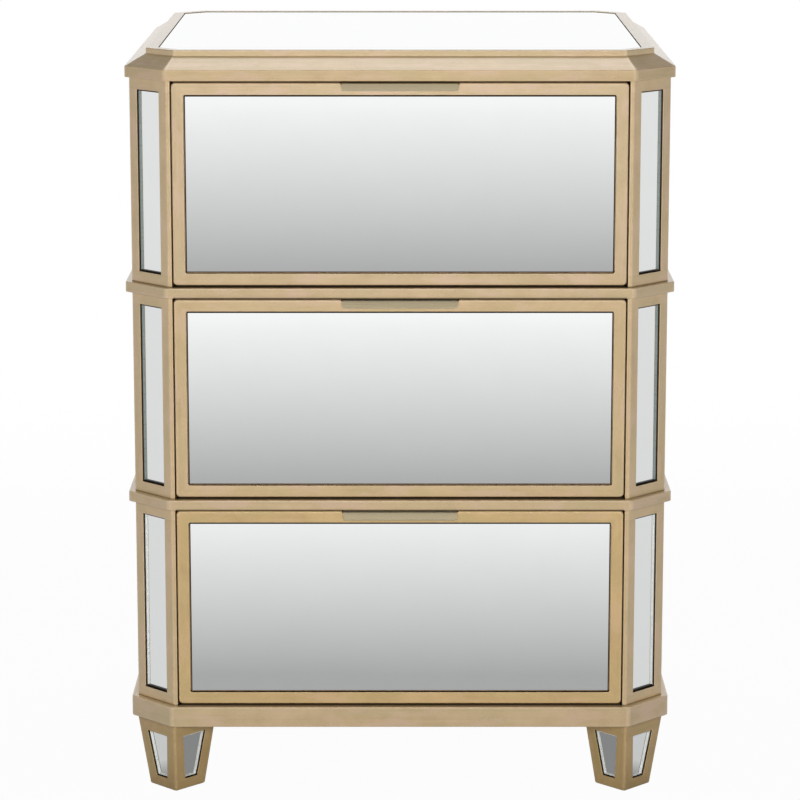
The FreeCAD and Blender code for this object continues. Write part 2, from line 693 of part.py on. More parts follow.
def front_frame(name, tier):
    """Gold frame round a drawer's mirror, eased outside, with a rebate in its head for the pull."""
    body = new_body(name)
    depth = "Derived.pocket_depth"
    slab = front_slab(body, tier, "Derived.board_face", depth)
    fillet(body, slab, [face_towards(slab, 0, -1, 0)], "Sizes.front_round")
    loop = front_loop(tier, "Sizes.front_border")
    window = pocket(body, outline(new_sketch(body, "XZ_Plane", "Derived.case_half_depth"), loop), depth)
    fillet(body, window, corners_through(window, depth), "Sizes.window_corner")
    head = drawer_head(tier)
    seat = "Sizes.pull_length / 2 + Sizes.pull_end_gap"
    corners = [
        (f"-({seat})", f"-(Derived.case_half_depth + {OVERCUT})"),
        (seat, f"-(Derived.case_half_depth + {OVERCUT})"),
        (seat, f"-(Derived.board_face - {OVERCUT})"),
        (f"-({seat})", f"-(Derived.board_face - {OVERCUT})"),
    ]
    pocket(body, outline(new_sketch(body, lift=head), corners), "Sizes.pull_gauge")
    return keep(name, body)


def front_board(name, tier):
    """Board behind a drawer's mirror, rebated and bored for the pull and grooved for the bottom."""
    head = drawer_head(tier)
    whole = new_body(f"{name}_blank")
    front_slab(whole, tier, "Derived.box_face", "Sizes.front_board")
    seat = "(Sizes.pull_length / 2 + Sizes.pull_end_gap)"
    length = "Sizes.pull_flange + Sizes.fit_gap"
    low = (f"-{seat}", "-Derived.case_half_depth", f"{head} - Sizes.pull_gauge")
    rebate = board(f"{name}_rebate", low, (f"2 * {seat}", length, f"Sizes.pull_gauge + {OVERCUT}"))
    tools = [rebate, bottom_slot(f"{name}_groove", tier)]
    radius = "Sizes.screw_radius + Sizes.fit_gap"
    for side_name, side in SIDES:
        low = screw_place(side, f"{head} - Sizes.screw_length - Sizes.fit_gap")
        tools.append(rod(f"{name}_bore_{side_name}", low, radius, "Sizes.screw_length"))
    return keep(name, cut(name, whole, *tools))


def screw_place(side, z):
    """Where one of a pull's screws stands."""
    return (f"{side} * Sizes.screw_spacing / 2", "Sizes.screw_setback - Derived.case_half_depth", z)


def bottom_slot(name, tier):
    """The space that a drawer's bottom takes up, with the clearance of its grooves."""
    half = "(Derived.box_inner + Sizes.groove_depth)"
    low = (
        f"-{half}",
        "-(Derived.box_face + Sizes.groove_depth)",
        f"{drawer_foot(tier)} + Sizes.box_lift + Sizes.bottom_lift",
    )
    length = "Derived.box_face + Sizes.groove_depth + Derived.box_rear"
    return board(name, low, (f"2 * {half}", length, "Sizes.bottom_thickness + Sizes.fit_gap"))


def make_box(name, tier):
    """Drawer box: two grooved sides, a back on top of the bottom, and the bottom in its grooves."""
    z = f"({drawer_foot(tier)} + Sizes.box_lift)"
    length = "Derived.box_face + Derived.box_rear"
    sides = []
    for side_name, side in SIDES:
        x = "Derived.box_inner" if side > 0 else "-Derived.box_half"
        low = (x, "-Derived.box_face", z)
        blank = board(f"{name}_{side_name}_blank", low, ("Sizes.box_wall", length, "Derived.box_height"))
        groove = bottom_slot(f"{name}_{side_name}_groove", tier)
        sides.append(cut(f"{name}_{side_name}", blank, groove))
    group(f"{name}_sides", sides)
    floor = f"{z} + Sizes.bottom_lift"
    rise = "Sizes.bottom_lift + Sizes.bottom_thickness + Sizes.fit_gap"
    low = ("-Derived.box_inner", "Derived.box_rear - Sizes.box_wall", f"{z} + {rise}")
    size = ("2 * Derived.box_inner", "Sizes.box_wall", f"Derived.box_height - ({rise})")
    keep(f"{name}_back", board(f"{name}_back", low, size))
    half = "(Derived.box_inner + Sizes.groove_depth - Sizes.fit_gap)"
    front = "(Derived.box_face + Sizes.groove_depth - Sizes.fit_gap)"
    size = (f"2 * {half}", f"{front} + Derived.box_rear", "Sizes.bottom_thickness")
    keep(f"{name}_bottom", board(f"{name}_bottom", (f"-{half}", f"-{front}", floor), size))


def make_pull(name, tier):
    """Edge pull: a bent strip let into the drawer's head, whose lip leans out and down."""
    body = new_body(name)
    head = drawer_head(tier)
    face = "-Derived.case_half_depth"
    gauge = "Sizes.pull_gauge"
    lean = "(Sizes.pull_reach - Sizes.pull_shelf) / Sizes.pull_drop"
    bend = f"{face} - Sizes.pull_shelf"
    lip = f"{face} - Sizes.pull_reach"
    inner_bend = f"{lip} + {gauge} + (Sizes.pull_drop - {gauge}) * {lean}"
    corners = [
        (f"{face} + Sizes.pull_flange", head),
        (bend, head),
        (lip, f"{head} - Sizes.pull_drop"),
        (f"{lip} + {gauge}", f"{head} - Sizes.pull_drop"),
        (inner_bend, f"{head} - {gauge}"),
        (f"{face} + Sizes.pull_flange", f"{head} - {gauge}"),
    ]
    sketch = outline(new_sketch(body, "YZ_Plane", "-Sizes.pull_length / 2"), corners)
    strip = pad(body, sketch, "Sizes.pull_length")
    for y, z, radius in (
        (bend, head, f"Sizes.pull_bend + {gauge}"),
        (inner_bend, f"{head} - {gauge}", "Sizes.pull_bend"),
    ):
        place_y, place_z = value_of(y), value_of(z)

        def at_bend(edge):
            """The edge along the bend."""
            middle = edge.CenterOfMass
            return abs(middle.y - place_y) < 1e-6 and abs(middle.z - place_z) < 1e-6

        strip = fillet(body, strip, edges_where(strip, at_bend), radius)
    holes = new_sketch(body, lift=head)
    for _, side in SIDES:
        x, y, _ = screw_place(side, head)
        circle(holes, x, y, "Sizes.screw_head_radius + Sizes.fit_gap")
    pocket(body, holes, gauge)
    keep(name, body)

    screws = []
    for side_name, side in SIDES:
        shank = rod(
            f"{name}_shank_{side_name}",
            screw_place(side, f"{head} - Sizes.screw_length"),
            "Sizes.screw_radius",
            "Sizes.screw_length",
        )
        crown = rod(
            f"{name}_head_{side_name}",
            screw_place(side, f"{head} - {gauge}"),
            "Sizes.screw_head_radius",
            gauge,
        )
        screw = doc.addObject("Part::Fuse", f"{name}_screw_{side_name}")
        screw.Base = shank
        screw.Tool = crown
        screws.append(screw)
    group(f"{name}_screws", screws)


def make_drawer(tier):
    """A drawer: framed mirror front with its pull, box, and the slides that carry it."""
    name = f"drawer_{tier}"
    front_frame(f"{name}_front_frame", tier)
    front_board(f"{name}_front_board", tier)
    margin = "(Sizes.front_border + Sizes.mirror_gap)"
    half = f"(Derived.front_half - {margin})"
    low = (f"-{half}", "-Derived.board_face - Sizes.mirror_thickness", f"{drawer_foot(tier)} + {margin}")
    size = (f"2 * {half}", "Sizes.mirror_thickness", f"Derived.drawer_height - 2 * {margin}")
    keep(f"{name}_mirror", board(f"{name}_mirror", low, size))
    make_box(f"{name}_box", tier)
    make_pull(f"{name}_pull", tier)
    make_slides(tier)


def check_document():
    """Stop if any object failed, or any finished piece is not a sound solid."""
    for item in doc.Objects:
        if "Invalid" in item.State or "Error" in item.State:
            raise RuntimeError(f"{item.Label} failed: {item.State}")
    for piece in nodes:
        if piece.Shape.isNull() or not piece.Shape.isValid() or not piece.Shape.Solids:
            raise RuntimeError(f"{piece.Label} is not a sound solid")


sizes = fill_sheet("Sizes", SIZES)
fill_sheet("Derived", [(alias, f"={formula}") for alias, formula in DERIVED])
make_base()
make_belts()
make_top()
make_posts()
make_sides()
make_feet()
for drawer_tier in TIERS:
    make_drawer(drawer_tier)
doc.recompute()
check_document()
os.makedirs("parts", exist_ok=True)
for node in nodes:
    node.Shape.exportStep(f"parts/{node.Label}.step")
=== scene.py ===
"""Looks of a mirrored nightstand, laid out as an add-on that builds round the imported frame.

Sizes come from the frame's own boxes or from the named settings below. Lengths are in metres, +Z is
up and the drawers face -Y. Every gilded member is a section carried along a line, and its UV map
"grain" holds metres along the member and metres round its section, so the finish follows the member.
"""
import math

import bmesh
import bpy
import numpy as np
from bpy.props import FloatProperty, FloatVectorProperty, PointerProperty
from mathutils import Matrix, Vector


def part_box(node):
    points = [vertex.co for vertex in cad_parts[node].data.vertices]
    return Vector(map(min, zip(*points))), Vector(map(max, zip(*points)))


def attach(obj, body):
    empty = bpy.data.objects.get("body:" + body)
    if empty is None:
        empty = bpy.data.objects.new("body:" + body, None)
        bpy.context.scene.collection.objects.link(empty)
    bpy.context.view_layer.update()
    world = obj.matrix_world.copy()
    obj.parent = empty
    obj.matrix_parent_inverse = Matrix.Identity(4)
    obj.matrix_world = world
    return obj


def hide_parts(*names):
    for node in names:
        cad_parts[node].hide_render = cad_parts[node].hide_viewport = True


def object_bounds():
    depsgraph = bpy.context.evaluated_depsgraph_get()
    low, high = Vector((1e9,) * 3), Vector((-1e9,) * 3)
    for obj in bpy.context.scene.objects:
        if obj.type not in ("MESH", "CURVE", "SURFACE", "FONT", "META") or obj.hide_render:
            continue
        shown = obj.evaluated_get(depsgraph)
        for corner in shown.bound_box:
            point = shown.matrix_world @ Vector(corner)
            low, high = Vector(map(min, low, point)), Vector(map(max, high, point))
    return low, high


bl_info = {
    "name": "Mirrored Nightstand",
    "version": (1, 0, 0),
    "blender": (4, 5, 0),
    "location": "View3D > Sidebar > Nightstand",
    "description": "Builds the gilded mouldings, mirrors, drawers and stage of a mirrored nightstand",
    "category": "Object",
}

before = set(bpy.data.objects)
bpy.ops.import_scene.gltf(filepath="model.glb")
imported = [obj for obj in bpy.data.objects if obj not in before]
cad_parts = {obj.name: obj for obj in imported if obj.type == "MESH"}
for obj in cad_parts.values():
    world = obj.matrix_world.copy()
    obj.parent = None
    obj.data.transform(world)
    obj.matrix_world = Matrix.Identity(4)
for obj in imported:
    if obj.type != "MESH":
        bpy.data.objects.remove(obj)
cad_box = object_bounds()

TIERS = (1, 2, 3)
DRAWER_TONES = dict(zip(TIERS, ("pale", "even", "deep")))
SIDES = (("left", -1), ("right", 1))
CORNERS = tuple(
    (f"{end}_{side}", across, deep)
    for end, deep in (("front", -1), ("rear", 1))
    for side, across in SIDES
)
ACROSS, DEEP, UP = np.eye(3)
HALF_ROOT = math.sqrt(0.5)
QUARTER_TURN = math.pi / 2
# Mesh marks: a share of edge wear with painted highlight, and a share of painted shade
GRAIN, WORN_HIGHLIGHT, PAINTED_SHADE = "grain", "edge", "recess"
SOFT_EDGE_ANGLE = math.radians(28)


def length(label, text, default):
    """A setting that holds a length."""
    return FloatProperty(name=label, description=text, default=default, unit="LENGTH", precision=5)


def tint(label, text, default):
    """A setting that holds a linear colour."""
    return FloatVectorProperty(
        name=label, description=text, default=default, size=4, subtype="COLOR", min=0.0, max=1.0
    )


def share(label, text, default):
    """A setting that holds a plain number."""
    return FloatProperty(name=label, description=text, default=default)


class NightstandSizes(bpy.types.PropertyGroup):
    """Sizes that the frame's boxes don't give."""

    corner_clip: length("Corner clip", "Leg of the 45 degree cut at the belts' corners", 0.043)
    arris: length("Arris", "Rounding of the gilded members' long edges", 0.0008)
    fine_arris: length("Fine arris", "Rounding of edges that meet a mirror", 0.0004)
    belt_corner: length("Belt corner", "Rounding of the belts' and the top's upright corners", 0.005)
    # Also the width of the lighter edge strip, which is partly wear and partly a painted highlight
    edge_guard: length("Worn edge", "Width of the rubbed strip along an edge", 0.0014)
    # Painted shade on the wall of a recess starts at this depth
    wall_guard: length("Wall edge", "Depth at which the wall of a recess turns dark", 0.0003)
    # Height of the painted shade at the foot of each post
    glaze_and_shade: length("Glaze", "Height of the dark glaze at the foot of each post", 0.0016)
    # Thickness of the painted shade sheet on the sills of the small mirrors
    shade_sheet: length("Lining", "Dark lining on the sills of the small mirrors", 0.0001)
    front_round: length("Front edge", "Rounding of a drawer front's outer edge", 0.0015)
    front_corner: length("Front corner", "Rounding of a drawer front's four corners", 0.004)
    window_corner: length("Window corner", "Rounding of the corners of a mirror's window", 0.002)
    groove: length("Groove", "Open line round each mirror", 0.0008)
    window_gap: length("Window gap", "Open line round a drawer's mirror", 0.0014)
    # Painted shade on the back of each ledge, in the gap under a drawer: none up to the first, full from
    # the second
    ledge_unshaded: length("Ledge light", "Bright part of the ledges of belts and base", 0.0058)
    ledge_shaded: length("Ledge dark", "Where the ledges of belts and base are dark with glaze", 0.0072)
    top_band: length("Top band", "Upright band at the foot of the top's moulding", 0.011)
    top_bevel_rise: length("Bevel rise", "Height of the top's bevel", 0.012)
    top_bevel_run: length("Bevel run", "How far the top's bevel leans in", 0.021)
    top_rim: length("Top rim", "Flat rim round the top mirror", 0.012)
    belt_rail: length("Belt rail", "Width of a belt's members", 0.050)
    base_rail: length("Base rail", "Width of the base frame's members", 0.066)
    panel_rebate: length("Panel rebate", "Ledge that carries a dust panel", 0.008)
    panel_thickness: length("Panel thickness", "Dust panel", 0.005)
    post_edge: length("Post edge", "Flat strip of a post beside its facet", 0.0038)
    post_round: length("Post round", "Rounding of a post's upright edges beside its facet", 0.002)
    facet_border: length("Facet border", "Gold at the sides of a facet's mirror", 0.011)
    facet_rail: length("Facet rail", "Gold above and below a facet's mirror", 0.0115)
    side_border: length("Side border", "Gold round a side panel's mirror", 0.012)
    mirror_recess: length("Mirror recess", "Mirror face below the gold round it", 0.002)
    mirror_thickness: length("Mirror thickness", "Mirror glass", 0.004)
    glass_depth: length("Glass depth", "Silver behind the face of a small mirror", 0.0016)
    glass_edge: length("Glass edge", "Width of a small mirror's ground edge", 0.0007)
    glass_arris: length("Glass arris", "Easing of a small mirror's ground edge", 0.00012)
    sill_gap: length("Sill gap", "Dark line below a small mirror", 0.0011)
    foot_top: length("Foot head", "Side of a foot's square under the base", 0.058)
    foot_bottom: length("Foot sole", "Side of a foot's square on the floor", 0.0405)
    foot_rail_top: length("Foot head rail", "Gold above a foot's mirrors", 0.0145)
    foot_rail_bottom: length("Foot sole rail", "Gold below a foot's mirrors", 0.0115)
    foot_mirror_top: length("Foot mirror head", "Opening for a foot's mirror at its head", 0.0305)
    foot_mirror_bottom: length("Foot mirror sole", "Opening for a foot's mirror at its foot", 0.0165)
    foot_round: length("Foot corner", "Rounding of a foot's corners", 0.002)
    sole_round: length("Sole edge", "Rounding of a foot's edges on the floor", 0.0015)
    pull_gauge: length("Pull gauge", "Metal of a pull", 0.0016)
    pull_shelf: length("Pull shelf", "Level part of a pull in front of the drawer", 0.005)
    pull_bend: length("Pull bend", "Radius of a pull's bend at its middle", 0.0014)
    pull_corner: length("Pull corner", "Rounding of the two corners of a pull's lip", 0.003)
    seat_gap: length("Seat gap", "Clearance of a pull in its seat", 0.0015)
    seat_step: length("Seat step", "Half of the run of the walls at a seat's ends", 0.00003)


class NightstandFinish(bpy.types.PropertyGroup):
    """Colours and strengths of the finishes."""

    gold_light: tint("Light gold", "Champagne paint where it is rubbed bright", (0.72, 0.525, 0.29, 1))
    gold_dark: tint("Dark gold", "Champagne paint where its glaze lies", (0.53, 0.37, 0.18, 1))
    gold_olive: tint("Olive gold", "Champagne paint where it turns green", (0.55, 0.435, 0.21, 1))
    # Lighter paint on rounded edges and corners: partly wear, partly a painted highlight
    gold_rubbed_highlight: tint("Edge gold", "Paint along the rubbed edges", (0.78, 0.58, 0.36, 1))
    gold_blush: tint("Blush gold", "Champagne paint where it turns pink", (0.68, 0.475, 0.30, 1))
    gold_speck: tint("Gold speck", "Specks of the glaze", (0.16, 0.10, 0.045, 1))
    pale_blue: share("Pale tone", "Blue of the palest gilding against the even one", 1.08)
    deep_blue: share("Deep tone", "Blue of the deepest gilding against the even one", 0.8)
    # Painted shade: the near-black colour mixed into the paint in recesses, gaps, crevices and under parts
    painted_shade_colour: tint("Bare wall", "Dark wood in the walls of the recesses", (0.035, 0.022, 0.012, 1))
    # How far upright corners are lightened: wear together with a painted highlight
    corner_wear_highlight: share("Corner wear", "How far the belts' and the top's upright corners are rubbed", 1.3)
    # Painted shade all over the feet, which makes them darker
    foot_shade: share("Foot tone", "Share of dark glaze all over the feet", 0.19)
    # Painted shade over the top's upright band
    band_shade: share("Band tone", "Share of dark glaze on the top's upright band", 0.07)
    # Painted shade all over the belts and the base
    belt_shade: share("Belt tone", "Share of dark glaze all over the belts and the base", 0.045)
    # Strength of the painted shade at the foot of each post
    post_foot_shade: share("Post glaze", "Share of dark glaze at the foot of each post", 0.75)
    # Strength of the painted shade at the back of the ledges
    ledge_shade: share("Ledge glaze", "Share of dark glaze at the back of the ledges", 0.9)
    silver: tint("Silver", "Silvering of the mirrors", (0.93, 0.945, 0.94, 1))
    # One ground glass edge in two copies: a green one with painted shade and a white one with painted light
    rim_green_shaded: tint("Green rim", "Ground edge of the glass where it lies in shade", (0.27, 0.32, 0.31, 1))
    rim_white_lit: tint("White rim", "Ground edge of the glass where it takes light", (0.86, 0.89, 0.87, 1))
    # Painted shadow: a near-black rim along the sill of each small mirror
    rim_shadow: tint("Dark rim", "Backing that shows through the glass at its sill", (0.02, 0.018, 0.016, 1))
    timber_light: tint("Light timber", "Pale wood of the drawer boxes", (0.62, 0.44, 0.27, 1))
    timber_dark: tint("Dark timber", "Grain of the drawer boxes", (0.43, 0.27, 0.14, 1))
    board_light: tint("Light board", "Pressed board of panels and backs", (0.36, 0.26, 0.17, 1))
    board_dark: tint("Dark board", "Fibres of panels and backs", (0.25, 0.17, 0.105, 1))
    steel: tint("Steel", "Plated steel of slides, bolts and screws", (0.50, 0.51, 0.52, 1))
    pull_metal: tint("Pull metal", "Brushed metal of the pulls", (0.69, 0.585, 0.38, 1))
    pull_bare: share("Bare pull", "Share of bare metal under the lacquer of the pulls", 0.3)
    bow: share("Mirror bow", "Slope of a drawer mirror's bow for each metre from its crest", 0.8)
    lean: share("Mirror lean", "Slope by which the mirror of the second drawer leans back", 0.032)
    lean_growth: share("Lean growth", "Power by which the lean grows from drawer to drawer", 0.35)


class NightstandStage(bpy.types.PropertyGroup):
    """Camera, lamps and floor."""

    camera_distance: length("Camera distance", "Camera in front of the origin", 3.4387)
    camera_height: length("Camera height", "Camera above the floor", 1.0699)
    camera_pitch: share("Camera pitch", "Degrees below the horizon", 11.046)
    camera_sensor: share("Camera sensor", "Width of the sensor in millimetres", 36.0)
    camera_lens: share("Camera lens", "Focal length in millimetres", 145.71)
    camera_shift: share("Camera shift", "Vertical shift as a share of the frame", -0.04)
    key_power: share("Key lamp", "Watts of the soft lamp in front", 28.8)
    top_power: share("Top lamp", "Watts of the lamp overhead", 6.5)
    side_power: share("Side lamps", "Watts of each lamp behind a side", 68.0)
    fill_strength: share("Fill", "Strength of the even light all round", 0.06)
    floor_size: length("Floor size", "Side of the floor", 14.0)
    floor_white: share("Floor white", "Share of plain white in the floor beside the object", 0.97)
    floor_lit: share("Floor tone", "Level of the floor that takes the lamps' light", 0.3)
    # Painted shade: the fixed glow that reflections see on the floor under the object
    floor_mirrored: share("Mirrored floor", "Level of the floor under the object in reflections", 0.25)


def sizes():
    """The sizes in use."""
    return bpy.context.scene.nightstand_sizes


def finish():
    """The finishes in use."""
    return bpy.context.scene.nightstand_finish


def span(node):
    """Lowest and highest corner of a frame node, as arrays."""
    low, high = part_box(node)
    return np.array(low), np.array(high)


def case_middle():
    """Middle of the case along Y, halfway through the base frame."""
    low, high = span("base_frame")
    return (low[1] + high[1]) / 2


def tier_heights():
    """Lowest and highest level of each tier, by its number from the top."""
    levels = [span(node) for node in ("top_frame", "belt_upper", "belt_lower", "base_frame")]
    return {tier: (levels[tier][1][2], levels[tier - 1][0][2]) for tier in TIERS}


# Shapes: sections carried along lines, worked out as whole arrays

SHARPEST = 1e-5
# Most of a side that an arc at its end may take, alone and with its guard
ARC_ROOM, GUARD_ROOM = 0.45, 0.49
# Stations of a ring's arc, and how many lie before the place where its grain starts
RING_STEPS, RING_START = 7, 4
# How far the grain of one member is shifted against the next, for each metre between them
GRAIN_SHIFT = 3


def unit(vectors):
    """Vectors made one long."""
    return vectors / np.linalg.norm(vectors, axis=-1, keepdims=True)


def swing(first, last, angle, steps):
    """Vectors turned evenly from first to last: (sin((1 - t) a) first + sin(t a) last) / sin(a)."""
    turn = np.linspace(0, 1, steps)[:, None]
    angle = angle[:, None]
    turned = np.sin((1 - turn) * angle) * first[:, None] + np.sin(turn * angle) * last[:, None]
    return turned / np.sin(angle)


def rounded(points, radii, guard=0.0, dark=(), steps=4):
    """Corners of a closed loop turned to arcs, and marks of each new point: wear with painted highlight,
    painted shade.

    For a corner of angle t between its two sides, the arc of radius r touches them r / tan(t / 2) from
    the corner, about a centre r / sin(t / 2) along the bisector, and its points are turned evenly from
    one touch to the other. A guard adds a point on each side where the edge's wear and painted
    highlight fade out, and where a side that is named as dark has full painted shade. Side k runs
    from corner k to the next.
    """
    points = np.asarray(points, float)
    radii = np.broadcast_to(np.maximum(radii, SHARPEST), len(points))[:, None]
    back = np.roll(points, 1, axis=0) - points
    ahead = np.roll(points, -1, axis=0) - points
    room = np.minimum(*(np.linalg.norm(side, axis=1, keepdims=True) for side in (back, ahead)))
    back, ahead = unit(back), unit(ahead)
    angle = np.arccos(np.clip((back * ahead).sum(1, keepdims=True), -1, 1))
    touch = np.minimum(radii / np.tan(angle / 2), room * ARC_ROOM)
    radius = touch * np.tan(angle / 2)
    centre = points + unit(back + ahead) * radius / np.sin(angle / 2)
    start, stop = points + back * touch - centre, points + ahead * touch - centre
    arc = centre[:, None] + swing(start, stop, math.pi - angle, steps + 1)
    marks = np.zeros((*arc.shape[:2], 2))
    marks[..., 0] = 1
    if np.any(guard):
        shade = np.isin(np.arange(len(points)), dark).astype(float)
        width = np.where(shade[:, None] + np.roll(shade, 1)[:, None], sizes().wall_guard, guard)
        reach = np.minimum(touch + width, room * GUARD_ROOM)
        guards = (points + back * reach)[:, None], (points + ahead * reach)[:, None]
        arc = np.concatenate((guards[0], arc, guards[1]), axis=1)
        marks = np.pad(marks, ((0, 0), (1, 1), (0, 0)))
        marks[:, 0, 1] = np.roll(shade, 1)
        marks[:, -1, 1] = shade
    return arc.reshape(-1, points.shape[1]), marks.reshape(-1, 2)


def around(loop):
    """Distance round a loop of points from its first point."""
    steps = np.linalg.norm(np.diff(loop, axis=0), axis=-1)
    return np.concatenate(((0.0,), np.cumsum(steps)))


def tube(sections, grain, marks=(0.0, 0.0), kinds=0, closed=False):
    """Patch through equal closed sections, stations by points by 3, its two ends shut or joined.

    Point j of station i joins point j + 1 and both points of station i + 1. The grain is metres along
    and metres round for every point. The kinds are the faces' material numbers, the ends last.
    """
    shape = (*sections.shape[:2], 2)
    index = np.arange(sections.size // 3).reshape(shape[:2])
    beside = np.roll(index, -1, axis=1)
    quads = np.stack((index, beside, np.roll(beside, -1, axis=0), np.roll(index, -1, axis=0)), axis=-1)
    quads = (quads if closed else quads[:-1]).reshape(-1, 4)
    ends = index[:0] if closed else index[[0, -1]]
    return {
        "points": sections.reshape(-1, 3),
        "quads": quads,
        "ends": ends,
        "grain": np.broadcast_to(grain, shape).reshape(-1, 2),
        "marks": np.array(np.broadcast_to(marks, shape).reshape(-1, 2)),
        "kinds": np.broadcast_to(kinds, len(quads) + len(ends)),
    }


def prism(loop, heights, marks, shade=0.0, flat=False):
    """A plan's loop raised through some heights. Its grain is upright, or level if flat.

    The shade is how strong the painted shade lies at each height.
    """
    heights = np.asarray(heights, float)[:, None]
    shape = (len(heights), len(loop))
    rise = np.broadcast_to(heights, shape)
    path = np.broadcast_to(around(loop), shape)
    marks = np.array(np.broadcast_to(marks, (*shape, 2)))
    marks[..., 1] = np.maximum(marks[..., 1].T, shade).T
    sections = np.dstack((np.broadcast_to(loop, (*shape, 2)), rise))
    return tube(sections, np.dstack((path, rise) if flat else (rise, path)), marks)


def mitres(corners, normal):
    """Direction of each side of a flat loop, its inward normal, and the mitre vector of each corner.

    Moving a corner by a times its mitre vector moves both of its sides in by a. The vector is the sum
    of the two inward normals over one plus their product.
    """
    along = unit(np.roll(corners, -1, axis=0) - corners)
    inward = np.cross(normal, along)
    before = np.roll(inward, 1, axis=0)
    return along, inward, (before + inward) / (1 + (before * inward).sum(1, keepdims=True))


def ring(corners, normal, section, marks, outer_round, inner_round, seat=None, worn_and_highlighted=0.0):
    """One member all round a flat loop: a section of (inward, outward) points carried along it.

    At a corner C with mitre vector M, a point that stands in by a lies on the arc C + (a + r) M - r n,
    where n turns evenly from the inward normal of one side to that of the next, and r goes from the
    outer radius to the inner one with a. A station just beyond each end of an arc keeps the sides flat.
    A seat, as (side, half length, depth), sinks the outer edge in the middle of one side. The arcs are
    lightened by a share of edge wear and painted highlight. The grain's two ends meet inside an arc.
    """
    along, inward, mitre = mitres(corners, normal)
    before = np.roll(inward, 1, axis=0)
    spread = np.arccos((before * inward).sum(1, keepdims=True))
    facing = swing(before, inward, spread, RING_STEPS)[:, :, None]
    depth, out = section[:, :1], section[:, 1:]
    radius = outer_round + (inner_round - outer_round) * (depth - depth.min()) / np.ptp(depth)
    arcs = (depth + radius) * mitre[:, None, None] - radius * facing
    arcs = corners[:, None, None] + arcs + out * normal
    guard = sizes().edge_guard * along[:, None, None]
    runs = (arcs[:, :1] - np.roll(guard, 1, axis=0), arcs, arcs[:, -1:] + guard)
    runs = list(np.concatenate(runs, axis=1))
    # Share of edge wear and painted highlight along each corner's arc
    rubbed_and_highlighted = [np.pad(np.full(RING_STEPS, worn_and_highlighted), 1)] * len(corners)
    if seat:
        side, half, sink = seat
        places = np.array((-half, -half, half, half)) + sizes().seat_step * np.array((-1, 1, -1, 1))
        sunk = np.maximum(depth, np.array((0, sink, sink, 0))[:, None, None])
        run = (corners[side] + corners[(side + 1) % len(corners)]) / 2
        run = run + places[:, None, None] * along[side] + sunk * inward[side] + out * normal
        runs.insert(side + 1, run)
        rubbed_and_highlighted.insert(side + 1, np.zeros(len(places)))
    points = np.roll(np.concatenate(runs), -RING_START, axis=0)
    rubbed_and_highlighted = np.roll(np.concatenate(rubbed_and_highlighted), -RING_START)[:, None]
    path = around(points[:, depth.argmin()])
    grain = np.stack(np.broadcast_arrays(path[:, None], around(section)), axis=-1)
    marks = np.array(np.broadcast_to(marks, grain.shape))
    marks[..., 0] = np.maximum(marks[..., 0], rubbed_and_highlighted)
    return tube(points, grain + np.abs(corners[0]).sum() * GRAIN_SHIFT, marks, closed=True)


def plate(corners, normal, profile, rise=0.0, kinds=0, marks=(0.0, 0.0)):
    """A flat plate: its loop of corners moved in and out by a profile of (inward, outward) rings.

    Its grain is metres across and metres up from the middle, with an added rise.
    """
    mitre = mitres(corners, normal)[2]
    profile = np.asarray(profile, float)
    rings = corners + profile[:, 0, None, None] * mitre + profile[:, 1, None, None] * normal
    level = ACROSS if np.allclose(normal, UP) else unit(np.cross(UP, normal))
    flat = rings - corners.mean(0)
    grain = np.stack((flat @ level, flat @ np.cross(normal, level) + rise), axis=-1)
    return tube(rings, grain, marks, kinds)


def rectangle(middle, level, upright, half_width, half_height):
    """Corners of a rectangle, turning from level towards upright."""
    signs = np.array(((-1, -1), (1, -1), (1, 1), (-1, 1)))
    steps = signs * np.array((half_width, half_height))
    return np.asarray(middle) + steps[:, :1] * level + steps[:, 1:] * upright


def clipped(node, height):
    """Corners of a node's clipped outline at some height, turning left as seen from above.

    A node that lies in from the belts by a has corner cuts whose legs are shorter by a (2 - sqrt(2)).
    """
    low, high = span(node)
    wide, deep = (high - low)[:2] / 2
    belt_low, belt_high = span("belt_upper")
    inset = (belt_high[0] - belt_low[0]) / 2 - wide
    cut = sizes().corner_clip - inset * (2 - math.sqrt(2))
    quarter = np.array(((wide - cut, -deep), (wide, cut - deep)))
    signs = ((1, 1), (1, -1), (-1, -1), (-1, 1))
    plan = np.concatenate([quarter[:: x * y] * (x, y) for x, y in signs]) + (0, case_middle())
    return np.column_stack((plan, np.full(len(plan), height)))


def frame_section(border, thickness, outer_round):
    """Section of a flat frame round a mirror, with painted shade on the wall of its window, and its marks.
    """
    fine = sizes().fine_arris
    loop = [(border, -thickness), (0, -thickness), (0, 0), (border, 0)]
    return rounded(loop, [fine, fine, outer_round, fine], sizes().edge_guard, dark=(3,))


